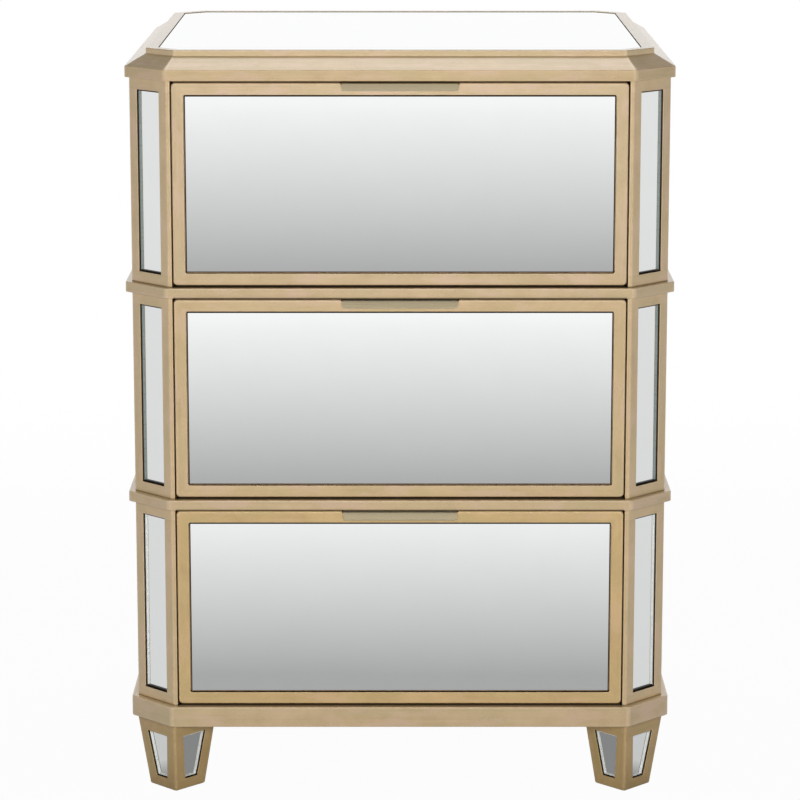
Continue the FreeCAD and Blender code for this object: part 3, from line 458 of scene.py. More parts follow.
def make_piece(name, patches, body, materials, nodes):
    """One object from its patches, in the frame's own place, that rides on a body."""
    offsets = np.cumsum([0] + [len(patch["points"]) for patch in patches])
    faces = []
    for patch, offset in zip(patches, offsets):
        faces += (patch["quads"] + offset).tolist() + (patch["ends"] + offset).tolist()
    points, kinds, grain, marks = (
        np.concatenate([patch[part] for patch in patches]) for part in ("points", "kinds", "grain", "marks")
    )
    mesh = bpy.data.meshes.new(name)
    mesh.from_pydata(points, [], faces)
    mesh.polygons.foreach_set("material_index", kinds.astype(np.int32))
    mesh.polygons.foreach_set("use_smooth", np.ones(len(kinds), bool))
    corners = np.empty(len(mesh.loops), np.int32)
    mesh.loops.foreach_get("vertex_index", corners)
    grain = grain[corners].astype(np.float32)
    mesh.uv_layers.new(name=GRAIN).uv.foreach_set("vector", grain.ravel())
    for column, label in enumerate((WORN_HIGHLIGHT, PAINTED_SHADE)):
        mesh.attributes.new(label, "FLOAT", "POINT").data.foreach_set("value", marks[:, column].copy())
    work = bmesh.new()
    work.from_mesh(mesh)
    bmesh.ops.recalc_face_normals(work, faces=work.faces)
    work.to_mesh(mesh)
    work.free()
    mesh.set_sharp_from_angle(angle=SOFT_EDGE_ANGLE)
    piece = bpy.data.objects.new(name, mesh)
    bpy.context.scene.collection.objects.link(piece)
    for material in materials:
        mesh.materials.append(material)
    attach(piece, body)
    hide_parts(*nodes)


def coat_nodes(material, *nodes):
    """Give frame nodes a material in place of their plain one."""
    for node in nodes:
        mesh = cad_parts[node].data
        mesh.materials.clear()
        mesh.materials.append(material)


# Finishes: nodes, then the patterns that several materials share, then the materials


def feed(tree, node, inputs):
    """Link or fill a node's inputs."""
    for key, value in inputs.items():
        if isinstance(value, bpy.types.NodeSocket):
            tree.links.new(value, node.inputs[key])
        else:
            node.inputs[key].default_value = value


def add(tree, kind, inputs=None, **options):
    """A node with its options set and its inputs linked or filled."""
    made = tree.nodes.new(f"ShaderNode{kind}")
    for option, value in options.items():
        setattr(made, option, value)
    feed(tree, made, inputs or {})
    return made


def maths(tree, operation, *values):
    """Result of a Math node."""
    return add(tree, "Math", dict(enumerate(values)), operation=operation).outputs[0]


def lift(tree, value, factor, start):
    """A value times a factor, from a start."""
    return maths(tree, "MULTIPLY_ADD", value, factor, start)


def remap(tree, value, start, stop, low=0.0, high=1.0, way="LINEAR"):
    """A value carried from one range to another and kept inside it."""
    inputs = {"Value": value, "From Min": start, "From Max": stop, "To Min": low, "To Max": high}
    return add(tree, "MapRange", inputs, interpolation_type=way).outputs[0]


def blend(tree, amount, first, second):
    """Result of mixing two numbers."""
    return add(tree, "Mix", {0: amount, 2: first, 3: second}).outputs[0]


def blend_colours(tree, amount, first, second):
    """Result of mixing two colours."""
    return add(tree, "Mix", {0: amount, 6: first, 7: second}, data_type="RGBA").outputs[2]


def stretch(tree, vector, factors):
    """A vector multiplied part by part."""
    return add(tree, "VectorMath", {0: vector, 1: factors}, operation="MULTIPLY").outputs[0]


def parts_of(tree, vector):
    """The three parts of a vector."""
    return add(tree, "SeparateXYZ", {0: vector}).outputs


def noise(tree, vector, waves, detail, roughness=0.55):
    """Value of a Noise Texture with so many waves to a metre, one number or one for each axis."""
    if np.ndim(waves):
        vector, waves = stretch(tree, vector, waves), 1.0
    inputs = {"Vector": vector, "Scale": waves, "Detail": detail, "Roughness": roughness}
    return add(tree, "TexNoise", inputs).outputs["Fac"]


def bump(tree, height, relief=1.0):
    """A normal lifted by a height."""
    return add(tree, "Bump", {"Height": height, "Distance": relief}).outputs[0]


def attribute(tree, name):
    """A mark of the mesh."""
    return add(tree, "Attribute", attribute_name=name).outputs["Fac"]


def grain_of(tree):
    """The grain map of a piece."""
    return add(tree, "UVMap", uv_map=GRAIN).outputs["UV"]


def place_of(tree, turn=0.0):
    """The place on a frame node, turned about Z so that its grain runs along the first axis."""
    where = add(tree, "TexCoord").outputs["Object"]
    return add(tree, "Mapping", {"Vector": where, "Rotation": (0, 0, turn)}).outputs[0]


def dimmed(colour, level):
    """A share of a colour."""
    return tuple(part * level for part in colour[:3]) + (1.0,)


SURFACE = ("Base Color", "Roughness", "Height")


def sockets(tree, results, **more):
    """A pattern's inputs, a vector, two colours and more by kind, and the node that takes its results."""
    given = {"Vector": "Vector", "Light": "Color", "Dark": "Color"} | more
    for label, kind in given.items():
        tree.interface.new_socket(label, in_out="INPUT", socket_type=f"NodeSocket{kind}")
    for label in results:
        kind = "Color" if label == "Base Color" else "Float"
        tree.interface.new_socket(label, in_out="OUTPUT", socket_type=f"NodeSocket{kind}")
    return tree.nodes.new("NodeGroupInput").outputs, tree.nodes.new("NodeGroupOutput")


# Brushed paint, as waves to a metre along the brush, across it and over it, and ranges of their values
FINE_STREAKS, BROAD_STREAKS, FINE_SHARE, STREAK_DEPTH = (9, 900, 900), (2.5, 160, 160), 0.45, 2.2
CLOUDS, CLOUD_DEPTH, CLOUD_HEIGHT = 34.0, 1.5, 0.6
OLIVE_PATCHES, OLIVE_RANGE = (9, 45, 45), (0.45, 0.7, 0.0, 0.7)
BLUSH_PATCHES, BLUSH_RANGE = (21, 70, 70), (0.5, 0.66, 0.0, 0.7)
GRIT, GRIT_RANGE = 720.0, (0.56, 0.74)
GRIT_PATCHES, GRIT_SPREAD = (11, 40, 40), (0.46, 0.66, 0.25, 1.3)
# Patches of the lighter edge strip, which is partly wear and partly a painted highlight
RUB_HIGHLIGHT_WAVES, RUB_HIGHLIGHT_LEAST = 160.0, 0.2
PAINT_SHEEN, SPECK_SHEEN = (0.16, 0.30), 0.2
PAINT_METAL, VARNISH_END = 0.22, 0.3
PAINT_AMOUNTS = {"Streaks": 0.55, "Specks": 0.42}
VARNISH = {"Specular IOR Level": 0.2, "Coat Roughness": 0.2, "Coat IOR": 1.75}


def brushed_paint(tree):
    """Brushed, glazed paint: streaks along the first axis, soft clouds, specks, wear and painted highlight
    on edges, painted shade in recesses.
    """
    colours = dict.fromkeys(("Olive", "Blush", "Speck", "Rubbed Highlight", "Painted Shade"), "Color")
    amounts = dict.fromkeys(("Streaks", "Specks", WORN_HIGHLIGHT, PAINTED_SHADE), "Float")
    given, result = sockets(tree, (*SURFACE, "Metallic", "Coat Weight"), **colours, **amounts)
    vector = given["Vector"]
    broad, fine = (noise(tree, vector, waves, 3.0) for waves in (BROAD_STREAKS, FINE_STREAKS))
    streak = blend(tree, FINE_SHARE, broad, fine)
    streak = maths(tree, "MULTIPLY", maths(tree, "SUBTRACT", streak, 0.5), given["Streaks"])
    clouds = noise(tree, vector, CLOUDS, 4.0, 0.6)
    level = lift(tree, streak, STREAK_DEPTH, lift(tree, clouds, CLOUD_DEPTH, 0.5 - CLOUD_DEPTH / 2))
    level = add(tree, "Clamp", {"Value": level}).outputs[0]
    colour = blend_colours(tree, level, given["Dark"], given["Light"])
    olive = remap(tree, noise(tree, vector, OLIVE_PATCHES, 3.0), *OLIVE_RANGE)
    colour = blend_colours(tree, olive, colour, given["Olive"])
    blush = remap(tree, noise(tree, vector, BLUSH_PATCHES, 2.0), *BLUSH_RANGE)
    colour = blend_colours(tree, blush, colour, given["Blush"])
    speck = remap(tree, noise(tree, vector, GRIT, 2.0, 0.7), *GRIT_RANGE)
    gather = remap(tree, noise(tree, vector, GRIT_PATCHES, 2.0), *GRIT_SPREAD)
    speck = maths(tree, "MULTIPLY", maths(tree, "MULTIPLY", speck, gather), given["Specks"])
    colour = blend_colours(tree, speck, colour, given["Speck"])
    # Edge wear and painted highlight, broken into patches
    rub_highlight = maths(tree, "SUBTRACT", noise(tree, vector, RUB_HIGHLIGHT_WAVES, 2.0), RUB_HIGHLIGHT_LEAST)
    colour = blend_colours(tree, maths(tree, "MULTIPLY", given[WORN_HIGHLIGHT], rub_highlight), colour, given["Rubbed Highlight"])
    # Painted shade moves the colour to the shade colour and takes away metal and varnish, so it stays dark
    # and dull
    results = {
        "Base Color": blend_colours(tree, given[PAINTED_SHADE], colour, given["Painted Shade"]),
        "Roughness": lift(tree, speck, SPECK_SHEEN, lift(tree, clouds, *PAINT_SHEEN)),
        "Metallic": remap(tree, given[PAINTED_SHADE], 0.0, 1.0, PAINT_METAL, 0.0),
        "Coat Weight": remap(tree, given[PAINTED_SHADE], 0.0, VARNISH_END, 1.0, 0.0),
        "Height": lift(tree, clouds, CLOUD_HEIGHT, streak),
    }
    feed(tree, result, results)


RING_BEND, RING_SWING, RING_DEPTH = (1.2, 9, 9), 16.0, 0.3
PORES, PORE_DEPTH, ACROSS_SHARE = (14, 700, 700), 1.3, 0.6
WOOD_SHEEN, CLEAT_RINGS, BOX_RINGS = (-0.2, 0.62), 300.0, 70.0


def straight_grain(tree):
    """Straight-grained wood: long rings bent by noise, with short dark pores along the first axis."""
    given, result = sockets(tree, SURFACE, Rings="Float")
    vector = given["Vector"]
    parts = parts_of(tree, vector)
    across = lift(tree, parts["Z"], ACROSS_SHARE, parts["Y"])
    bend = noise(tree, vector, RING_BEND, 2.0)
    rings = maths(tree, "MULTIPLY", across, given["Rings"])
    rings = maths(tree, "SINE", lift(tree, bend, RING_SWING, rings))
    pores = noise(tree, vector, PORES, 2.0)
    level = lift(tree, maths(tree, "SUBTRACT", pores, 0.5), PORE_DEPTH, lift(tree, rings, RING_DEPTH, 0.5))
    level = add(tree, "Clamp", {"Value": level}).outputs[0]
    colour = blend_colours(tree, level, given["Dark"], given["Light"])
    feed(tree, result, {"Base Color": colour, "Roughness": lift(tree, pores, *WOOD_SHEEN), "Height": pores})


HAZE, HAZE_LEVEL, SILVER_SHEEN = 26.0, 0.97, (0.03, 0.02)
RIPPLE, RIPPLE_HEIGHT = 7.0, 0.00012


def silvering(tree):
    """Silvered glass with a faint haze and ripple, and on the drawers a slight upright bow.

    The bow's height is -bow * v^2 / 2 for v metres above its crest, so its slope is bow * v.
    """
    given, result = sockets(tree, SURFACE, Bow="Float")
    haze = noise(tree, given["Vector"], HAZE, 3.0)
    rise = parts_of(tree, given["Vector"])["Y"]
    bow = maths(tree, "MULTIPLY", maths(tree, "MULTIPLY", rise, rise), given["Bow"])
    ripple = maths(tree, "MULTIPLY", noise(tree, given["Vector"], RIPPLE, 1.0), RIPPLE_HEIGHT)
    colour = blend_colours(tree, haze, given["Dark"], given["Light"])
    sheen, height = lift(tree, haze, *SILVER_SHEEN), lift(tree, bow, -0.5, ripple)
    feed(tree, result, {"Base Color": colour, "Roughness": sheen, "Height": height})


FROST, FROST_LEVEL, GLASS_SHEEN = 500.0, 0.8, (0.2, 0.2)


def ground_glass(tree):
    """Ground edge of mirror glass, a little milky."""
    given, result = sockets(tree, SURFACE[:2])
    frost = noise(tree, given["Vector"], FROST, 2.0)
    colour = blend_colours(tree, frost, given["Dark"], given["Light"])
    feed(tree, result, {"Base Color": colour, "Roughness": lift(tree, frost, *GLASS_SHEEN)})


TARNISH, SCRATCH_SHARE, SCRATCH_LEVEL, METAL_SHEEN = 60.0, 0.7, 0.78, (0.22, 0.2)
# Scratches of each metal part, as waves to a metre along its three axes
BOLT_DRAW, SCREW_DRAW = (900, 900, 20), (600, 600, 40)
PULL_DRAW, SLIDE_DRAW = (25, 1200, 1200), (900, 14, 900)


def drawn_metal(tree):
    """Drawn metal: fine scratches along the streaks' short axis in colour, gloss and height."""
    given, result = sockets(tree, SURFACE, Streaks="Vector")
    scratch = noise(tree, stretch(tree, given["Vector"], given["Streaks"]), 1.0, 4.0)
    level = blend(tree, SCRATCH_SHARE, noise(tree, given["Vector"], TARNISH, 3.0), scratch)
    colour = blend_colours(tree, level, given["Dark"], given["Light"])
    sheen = lift(tree, scratch, *METAL_SHEEN)
    feed(tree, result, {"Base Color": colour, "Roughness": sheen, "Height": scratch})


def patterned(tree, pattern, relief=1.0, **values):
    """What a shared pattern feeds to a Principled BSDF, with its height made a normal of some relief."""
    name = pattern.__name__
    if name not in bpy.data.node_groups:
        pattern(bpy.data.node_groups.new(name, "ShaderNodeTree"))
    made = dict(add(tree, "Group", values, node_tree=bpy.data.node_groups[name]).outputs.items())
    if "Height" in made:
        made["Normal"] = bump(tree, made.pop("Height"), relief)
    return made


def material(name, look, *values):
    """A material by its name, made on its first use from what its look feeds to the Principled BSDF."""
    made = bpy.data.materials.get(name)
    if not made:
        made = bpy.data.materials.new(name)
        made.use_nodes = True
        tree = made.node_tree
        feed(tree, tree.nodes["Principled BSDF"], look(tree, *values))
    return made


GREEN_POWER = 0.2
PAINT_RELIEF, WOOD_RELIEF, BOARD_RELIEF, METAL_RELIEF = 0.00005, 0.00012, 0.0003, 0.00004


def gold_paint(tone="even"):
    """Champagne-gold brushed paint, lighter along its edges from wear and a painted highlight.

    A pale tone has more blue in it and a deep one less, because the parts are gilded one by one. Green
    moves with a power of the blue.
    """

    def look(tree):
        gilt = finish()
        blue = {"pale": gilt.pale_blue, "even": 1.0, "deep": gilt.deep_blue}[tone]
        golds = {
            "Light": gilt.gold_light,
            "Dark": gilt.gold_dark,
            "Olive": gilt.gold_olive,
            "Blush": gilt.gold_blush,
            "Rubbed Highlight": gilt.gold_rubbed_highlight,
        }
        for label, (red, green, pale, _) in golds.items():
            golds[label] = (red, green * blue**GREEN_POWER, pale * blue, 1.0)
        marks = {mark: attribute(tree, mark) for mark in (WORN_HIGHLIGHT, PAINTED_SHADE)}
        plain = {"Vector": grain_of(tree), "Speck": gilt.gold_speck, "Painted Shade": gilt.painted_shade_colour}
        values = plain | golds | marks | PAINT_AMOUNTS
        return patterned(tree, brushed_paint, PAINT_RELIEF, **values) | VARNISH

    return material(f"champagne_gilding_{tone}", look)


def mirror_silver(name="mirror_silver", bow=0.0):
    """Silvered glass, bright as metal."""

    def look(tree):
        clean = finish().silver
        values = {"Vector": grain_of(tree), "Light": clean, "Dark": dimmed(clean, HAZE_LEVEL), "Bow": bow}
        return patterned(tree, silvering, **values) | {"Metallic": 1.0}

    return material(name, look)


def small_mirror_finishes():
    """Materials of a piece of small mirrors: silver, then the green rim with painted shade, the white rim
    with painted light, and the dark rim as painted shadow.
    """

    def look(tree, pale):
        values = {"Vector": grain_of(tree), "Light": pale, "Dark": dimmed(pale, FROST_LEVEL)}
        return patterned(tree, ground_glass, **values)

    colours = finish()
    # The green rim holds painted shade, the white rim painted light, the dark rim painted shadow
    rims = {"green": colours.rim_green_shaded, "white": colours.rim_white_lit, "dark": colours.rim_shadow}
    return [mirror_silver()] + [material(f"glass_rim_{rim}", look, pale) for rim, pale in rims.items()]


def timber(name, rings, turn=0.0):
    """Pale wood of a frame node, with its grain turned to the node's length."""

    def look(tree):
        wood = {"Light": finish().timber_light, "Dark": finish().timber_dark, "Rings": rings}
        return patterned(tree, straight_grain, WOOD_RELIEF, Vector=place_of(tree, turn), **wood)

    return material(name, look)


FIBRES, BLOTCHES, FIBRE_SHARE = 420.0, 12.0, 0.7
FIBRE_RANGE, BOARD_SHEEN = (0.35, 0.65), (0.25, 0.55)


def pressed_board():
    """Pressed board with short fibres, for panels and backs."""

    def look(tree):
        where = place_of(tree)
        fibre = noise(tree, where, FIBRES, 4.0, 0.7)
        level = blend(tree, FIBRE_SHARE, noise(tree, where, BLOTCHES, 3.0), fibre)
        level = remap(tree, level, *FIBRE_RANGE)
        return {
            "Base Color": blend_colours(tree, level, finish().board_dark, finish().board_light),
            "Roughness": lift(tree, fibre, *BOARD_SHEEN),
            "Normal": bump(tree, fibre, BOARD_RELIEF),
        }

    return material("pressed_board", look)


def plated_steel(name, colour, streaks, bare=1.0):
    """Drawn metal. The bare share is how much of it is metal, and the rest is tinted lacquer."""

    def look(tree):
        values = {"Vector": place_of(tree), "Streaks": streaks}
        values |= {"Light": colour, "Dark": dimmed(colour, SCRATCH_LEVEL)}
        return patterned(tree, drawn_metal, METAL_RELIEF, **values) | {"Metallic": bare}

    return material(name, look)


# Operators: one for each piece or group of like pieces, and one for the stage


class BuildTop(bpy.types.Operator):
    """Moulded top: a band, a bevel and a rim round the mirror"""

    bl_idname = "nightstand.top"
    bl_label = "Top"

    def execute(self, context):
        size, look = sizes(), finish()
        low, high = span("top_frame")
        height = high[2] - low[2]
        band, run, fine = size.top_band, size.top_bevel_run, size.fine_arris
        rise, inner = band + size.top_bevel_rise, run + size.top_rim
        loop = [(inner, 0), (0, 0), (0, band), (run, rise), (run, height), (inner, height)]
        radii = [fine] + [size.arris] * 4 + [fine]
        # The inner wall beside the top mirror gets painted shade
        section, marks = rounded(loop, radii, size.edge_guard, dark=(5,))
        # Painted shade on the band runs from its lower corner halfway round its upper one
        by_corner = marks.reshape(len(loop), -1, 2)
        by_corner[1, :, 1] = by_corner[2, :3, 1] = look.band_shade
        corners = clipped("top_frame", low[2])
        patch = ring(corners, UP, section, marks, size.belt_corner, fine, worn_and_highlighted=look.corner_wear_highlight)
        make_piece("top_moulding", [patch], "case", [gold_paint()], ["top_frame"])
        low, high = span("top_mirror")
        corners = clipped("top_mirror", high[2])
        make_mirror("top_mirror_glass", corners, UP, high[2] - low[2], "case", "top_mirror")
        coat_nodes(pressed_board(), "top_board")
        return {"FINISHED"}


def make_mirror(name, corners, normal, thickness, body, node, bow=0.0, rise=0.0):
    """A mirror plate with a polished arris, silvered all over, and bowed where it is asked for."""
    arris = sizes().fine_arris
    profile = ((arris, 0), (0, -arris), (0, -thickness))
    silver = mirror_silver("mirror_silver_bowed", bow) if bow else mirror_silver()
    make_piece(name, [plate(corners, normal, profile, rise)], body, [silver], [node])


# Painted shade round the lower edge of a belt, from its underside to its face
UNDER_EDGE_SHADE = (1.0, 1.0, 1.0, 1.0, 0.9, 0.5)


class BuildBelts(bpy.types.Operator):
    """Belts between the tiers and the base frame, each with eight eased corners"""

    bl_idname = "nightstand.belts"
    bl_label = "Belts and base"

    def execute(self, context):
        size = sizes()
        for node, rail, under in (
            ("belt_upper", size.belt_rail, UNDER_EDGE_SHADE),
            ("belt_lower", size.belt_rail, UNDER_EDGE_SHADE),
            ("base_frame", size.base_rail, ()),
        ):
            patch = self.moulding(node, rail, under)
            make_piece(f"{node}_moulding", [patch], "case", [gold_paint("pale")], [node])
        coat_nodes(pressed_board(), "dust_panel_upper", "dust_panel_lower", "bottom_panel")
        return {"FINISHED"}

    def moulding(self, node, rail, under):
        """A belt with painted shade on its ledge, and round its lower edge above the drawer below it."""
        size, look = sizes(), finish()
        low, high = span(node)
        height = high[2] - low[2]
        ledge, inner = height - size.panel_thickness, rail - size.panel_rebate
        loop = [(rail, 0), (0, 0), (0, height), (inner, height), (inner, ledge), (rail, ledge)]
        radii = [size.fine_arris, size.arris, size.arris] + [size.fine_arris] * 3
        section, marks = rounded(loop, radii, size.edge_guard)
        # Painted shade all over the belt
        marks[:, 1] = look.belt_shade
        each = len(section) // len(loop)
        after = [3 * each] * 2
        # Two points on the ledge where the painted shade starts and becomes full
        section = np.insert(section, after, ((size.ledge_unshaded, height), (size.ledge_shaded, height)), axis=0)
        marks = np.insert(marks, after, ((0.0, look.belt_shade), (0.0, look.ledge_shade)), axis=0)
        corners = clipped(node, low[2])
        drawer_half = span("drawer_1_front_frame")[1][0]
        seat = (len(corners) - 1, drawer_half, 0.0)
        patch = ring(corners, UP, section, marks, size.belt_corner, size.fine_arris, seat, look.corner_wear_highlight)
        # Painted shade round the lower edge, only over the drawer below
        shade = np.zeros(len(section))
        shade[each : each + len(under)] = under
        over_drawer = np.abs(patch["points"][:, 0]) < drawer_half
        shade = np.tile(shade, len(over_drawer) // len(shade)) * over_drawer
        patch["marks"][:, 1] = np.maximum(patch["marks"][:, 1], shade)
        return patch


# Rims with painted shade, painted light and painted shadow
SILVER, RIM_GREEN_SHADED, RIM_WHITE_LIT, RIM_SHADOW = range(4)


def small_mirror(corners, normal, rim, ends):
    """A small mirror as one patch: silver set back behind clear glass, inside a ground edge.

    The rim and its two ends, below and above, are given as material numbers.
    """
    size = sizes()
    edge, ease = size.glass_edge, size.glass_arris
    profile = ((edge, -size.glass_depth), (edge, 0), (ease, 0), (0, -ease), (0, -size.mirror_thickness))
    kinds = np.append(np.tile((ends, rim, ends, rim), len(profile) - 1), (SILVER, rim))
    return plate(corners, normal, profile, kinds=kinds)


def make_small_mirrors(name, patches, node):
    """One piece of many small mirrors."""
    make_piece(name, patches, "case", small_mirror_finishes(), [node])


def painted_shade_sheet(corners, normal=UP):
    """A thin dark sheet on the floor of a recess, inside its corners, as painted shade."""
    size = sizes()
    return plate(corners, normal, ((size.fine_arris, size.shade_sheet), (size.fine_arris, 0)), marks=(0.0, 1.0))


class BuildPosts(bpy.types.Operator):
    """Corner posts with a sunk mirror in each facet"""

    bl_idname = "nightstand.posts"
    bl_label = "Corner posts"

    def execute(self, context):
        mirrors = []
        for corner, side, end in CORNERS:
            node = f"post_{corner}"
            patches, glass = self.column(*span(node), np.array((side, end)))
            mirrors += glass
            make_piece(f"{node}_column", patches, "case", [gold_paint()], [node])
        make_small_mirrors("post_mirror_glass", mirrors, "post_mirrors")
        return {"FINISHED"}

    def column(self, low, high, way):
        """Patches of one post, a block to a tier with painted shade at its foot, and of its mirrors."""
        size = sizes()
        outer = np.where(way > 0, high[:2], low[:2])
        inner = np.where(way > 0, low[:2], high[:2])
        near = np.array((inner[0] + way[0] * size.post_edge, outer[1]))
        far = np.array((outer[0], inner[1] + way[1] * size.post_edge))
        border = size.facet_border * unit(far - near)
        normal = np.append(way, 0) * HALF_ROOT
        first, last = near + border, far - border
        bed = (size.mirror_recess + size.mirror_thickness) * normal[:2]
        groove = [first, first - bed, last - bed, last]
        start, rest = [(inner[0], near[1]), near], [far, (far[0], inner[1]), inner]
        fine, bold = size.fine_arris, size.post_round
        plain, plain_marks = rounded(start + rest, [fine, bold, bold, fine, fine], size.edge_guard)
        radii = [fine, bold] + [fine] * 4 + [bold, fine, fine]
        # The groove's walls and floor get painted shade
        notched, notched_marks = rounded(start + groove + rest, radii, size.edge_guard, dark=(2, 3, 4))
        level = np.cross(UP, normal)
        half = np.linalg.norm(last - first) / 2 - size.groove
        face = (first + last) / 2 - size.mirror_recess * normal[:2]
        # Painted shade at the foot of the post, fading out upwards
        glaze_and_shade = (finish().post_foot_shade, 0.0, 0.0)
        patches, mirrors = [], []
        for tier, (bottom, top) in tier_heights().items():
            foot, head = bottom + size.facet_rail, top - size.facet_rail
            sill = np.column_stack((groove, np.full(4, foot)))
            patches += [
                prism(plain, (bottom, bottom + size.glaze_and_shade, foot), plain_marks, glaze_and_shade, flat=True),
                prism(notched, (foot, head), notched_marks),
                prism(plain, (head, top), plain_marks, flat=True),
                # Painted shade sheet on the sill below the facet's mirror
                painted_shade_sheet(sill[:: -way.prod()]),
            ]
            lowest, highest = foot + size.sill_gap, head - size.groove
            centre = np.append(face, (lowest + highest) / 2)
            corners = rectangle(centre, level, UP, half, (highest - lowest) / 2)
            # Lowest tier's mirrors get the rim with painted light, the others the rim with painted shade
            rim = RIM_WHITE_LIT if tier == TIERS[-1] else RIM_GREEN_SHADED
            mirrors.append(small_mirror(corners, normal, rim, RIM_SHADOW))
        return patches, mirrors


class BuildSides(bpy.types.Operator):
    """Side panels with their mirrors, the back and the cleats behind the slides"""

    bl_idname = "nightstand.sides"
    bl_label = "Sides and back"

    def execute(self, context):
        mirrors = []
        for side_name, side in SIDES:
            node = f"side_panel_{side_name}"
            patches, glass = self.panel(*span(node), side)
            mirrors += glass
            materials = [gold_paint(), pressed_board()]
            make_piece(f"{node}_frame", patches, "case", materials, [node])
        make_small_mirrors("side_mirror_glass", mirrors, "side_mirrors")
        coat_nodes(timber("cleat_timber", CLEAT_RINGS, -QUARTER_TURN), "slide_cleats")
        coat_nodes(pressed_board(), "back_panels")
        return {"FINISHED"}

    def panel(self, low, high, side):
        """Patches of one side, a frame and its board to a tier, and of its mirrors."""
        size = sizes()
        depth, border = size.mirror_recess + size.mirror_thickness, size.side_border
        thickness = high[0] - low[0]
        normal = side * ACROSS
        level = np.cross(UP, normal)
        outer = high[0] if side > 0 else low[0]
        half_y = (high[1] - low[1]) / 2
        section, marks = frame_section(border, thickness, size.fine_arris)
        patches, mirrors = [], []
        for bottom, top in tier_heights().values():
            centre = np.array((outer, (low[1] + high[1]) / 2, (bottom + top) / 2))
            half_z = (top - bottom) / 2
            outline, window, glass = (
                rectangle(centre, level, UP, half_y - inset, half_z - inset)
                for inset in (0, border, border + size.groove)
            )
            patches += [
                ring(outline, normal, section, marks, size.fine_arris, size.window_corner),
                plate(window, normal, ((0, -depth), (0, -thickness)), kinds=1),
            ]
            glass = glass - size.mirror_recess * normal
            mirrors.append(small_mirror(glass, normal, RIM_GREEN_SHADED, RIM_GREEN_SHADED))
        return patches, mirrors


SOLE_STEPS = 4


class BuildFeet(bpy.types.Operator):
    """Tapered feet with a mirror sunk in each side"""

    bl_idname = "nightstand.feet"
    bl_label = "Feet"

    def execute(self, context):
        size = sizes()
        open_half = np.array((size.foot_mirror_bottom, size.foot_mirror_top)) / 2
        turn = np.linspace(0, QUARTER_TURN, SOLE_STEPS)
        mirrors = []
        for corner, _, _ in CORNERS:
            node = f"foot_{corner}"
            low, high = span(node)
            height = high[2]
            centre = np.append((low + high)[:2] / 2, 0.0)
            ends = np.array((size.foot_rail_bottom, height - size.foot_rail_top))
            levels = np.concatenate((size.sole_round * (1 - np.cos(turn)), ends, (height,)))
            half = np.interp(levels, (0, height), (size.foot_bottom / 2, size.foot_top / 2))
            half[:SOLE_STEPS] -= size.sole_round * (1 - np.sin(turn))
            sill = half[-3]
            patches = [
                self.block(centre, levels[:-2], half[:-2]),
                self.block(centre, ends, half[-3:-1], open_half),
                self.block(centre, levels[-2:], half[-2:]),
                # Painted shade sheet on the sill below the foot's mirrors
                painted_shade_sheet(rectangle(centre + ends[0] * UP, *self.quarters()[0][:2], sill, sill)),
            ]
            make_piece(f"{node}_taper", patches, "case", [gold_paint("deep")], [node])
            mirrors += self.mirrors(centre, ends, half[-3:-1], open_half)
        make_small_mirrors("foot_mirror_glass", mirrors, "foot_mirrors")
        coat_nodes(plated_steel("bolt_steel", finish().steel, BOLT_DRAW), "foot_bolts")
        return {"FINISHED"}

    @staticmethod
    def quarters():
        """The level and outward directions of a foot's four sides."""
        turns = (np.arange(4) + 0.5) * QUARTER_TURN
        level = np.column_stack((np.cos(turns), np.sin(turns), np.zeros(4)))
        return level, np.cross(level, UP)

    def block(self, centre, levels, half, open_half=None):
        """Square sections turned by 45 degrees, notched on each side where a mirror lies."""
        size = sizes()
        depth = size.mirror_recess + size.mirror_thickness
        level, outward = (way[:, None, :2] for way in self.quarters())
        loops = []
        for row, reach in enumerate(half):
            one = [(-reach, reach)]
            if open_half is not None:
                wide = open_half[row]
                one += [(-wide, reach), (-wide, reach - depth), (wide, reach - depth), (wide, reach)]
            one = np.array(one)
            points = one[:, :1] * level + one[:, 1:] * outward
            radii = np.tile([size.foot_round] + [size.fine_arris] * (len(one) - 1), 4)
            # The walls and floor of each mirror's notch get painted shade
            dark = np.flatnonzero(np.tile(np.isin(np.arange(len(one)), (1, 2, 3)), 4))
            loop, marks = rounded(points.reshape(-1, 2), radii, size.edge_guard, dark)
            loops.append(np.column_stack((loop, np.full(len(loop), levels[row]))))
        sections = np.stack(loops) + centre
        path = np.broadcast_to(around(loops[0]), sections.shape[:2])
        rise = sections[..., 2]
        # Painted shade all over the foot
        marks[:, 1] = np.maximum(marks[:, 1], finish().foot_shade)
        return tube(sections, np.dstack((path, rise) if open_half is None else (rise, path)), marks)

    def mirrors(self, centre, levels, half, open_half):
        """Leaning small mirrors on the four sides, between two levels."""
        size = sizes()
        rise = levels + np.array((size.sill_gap, -size.groove))
        reach = np.interp(rise, levels, half) - size.mirror_recess
        wide = (np.interp(rise, levels, open_half) - size.groove)[:, None]
        patches = []
        for across, out in zip(*self.quarters()):
            rows = centre + reach[:, None] * out + rise[:, None] * UP
            left, right = rows - wide * across, rows + wide * across
            normal = unit(np.cross(across, rows[1] - rows[0]))
            corners = np.stack((left[0], right[0], right[1], left[1]))
            patches.append(small_mirror(corners, normal, RIM_WHITE_LIT, RIM_WHITE_LIT))
        return patches


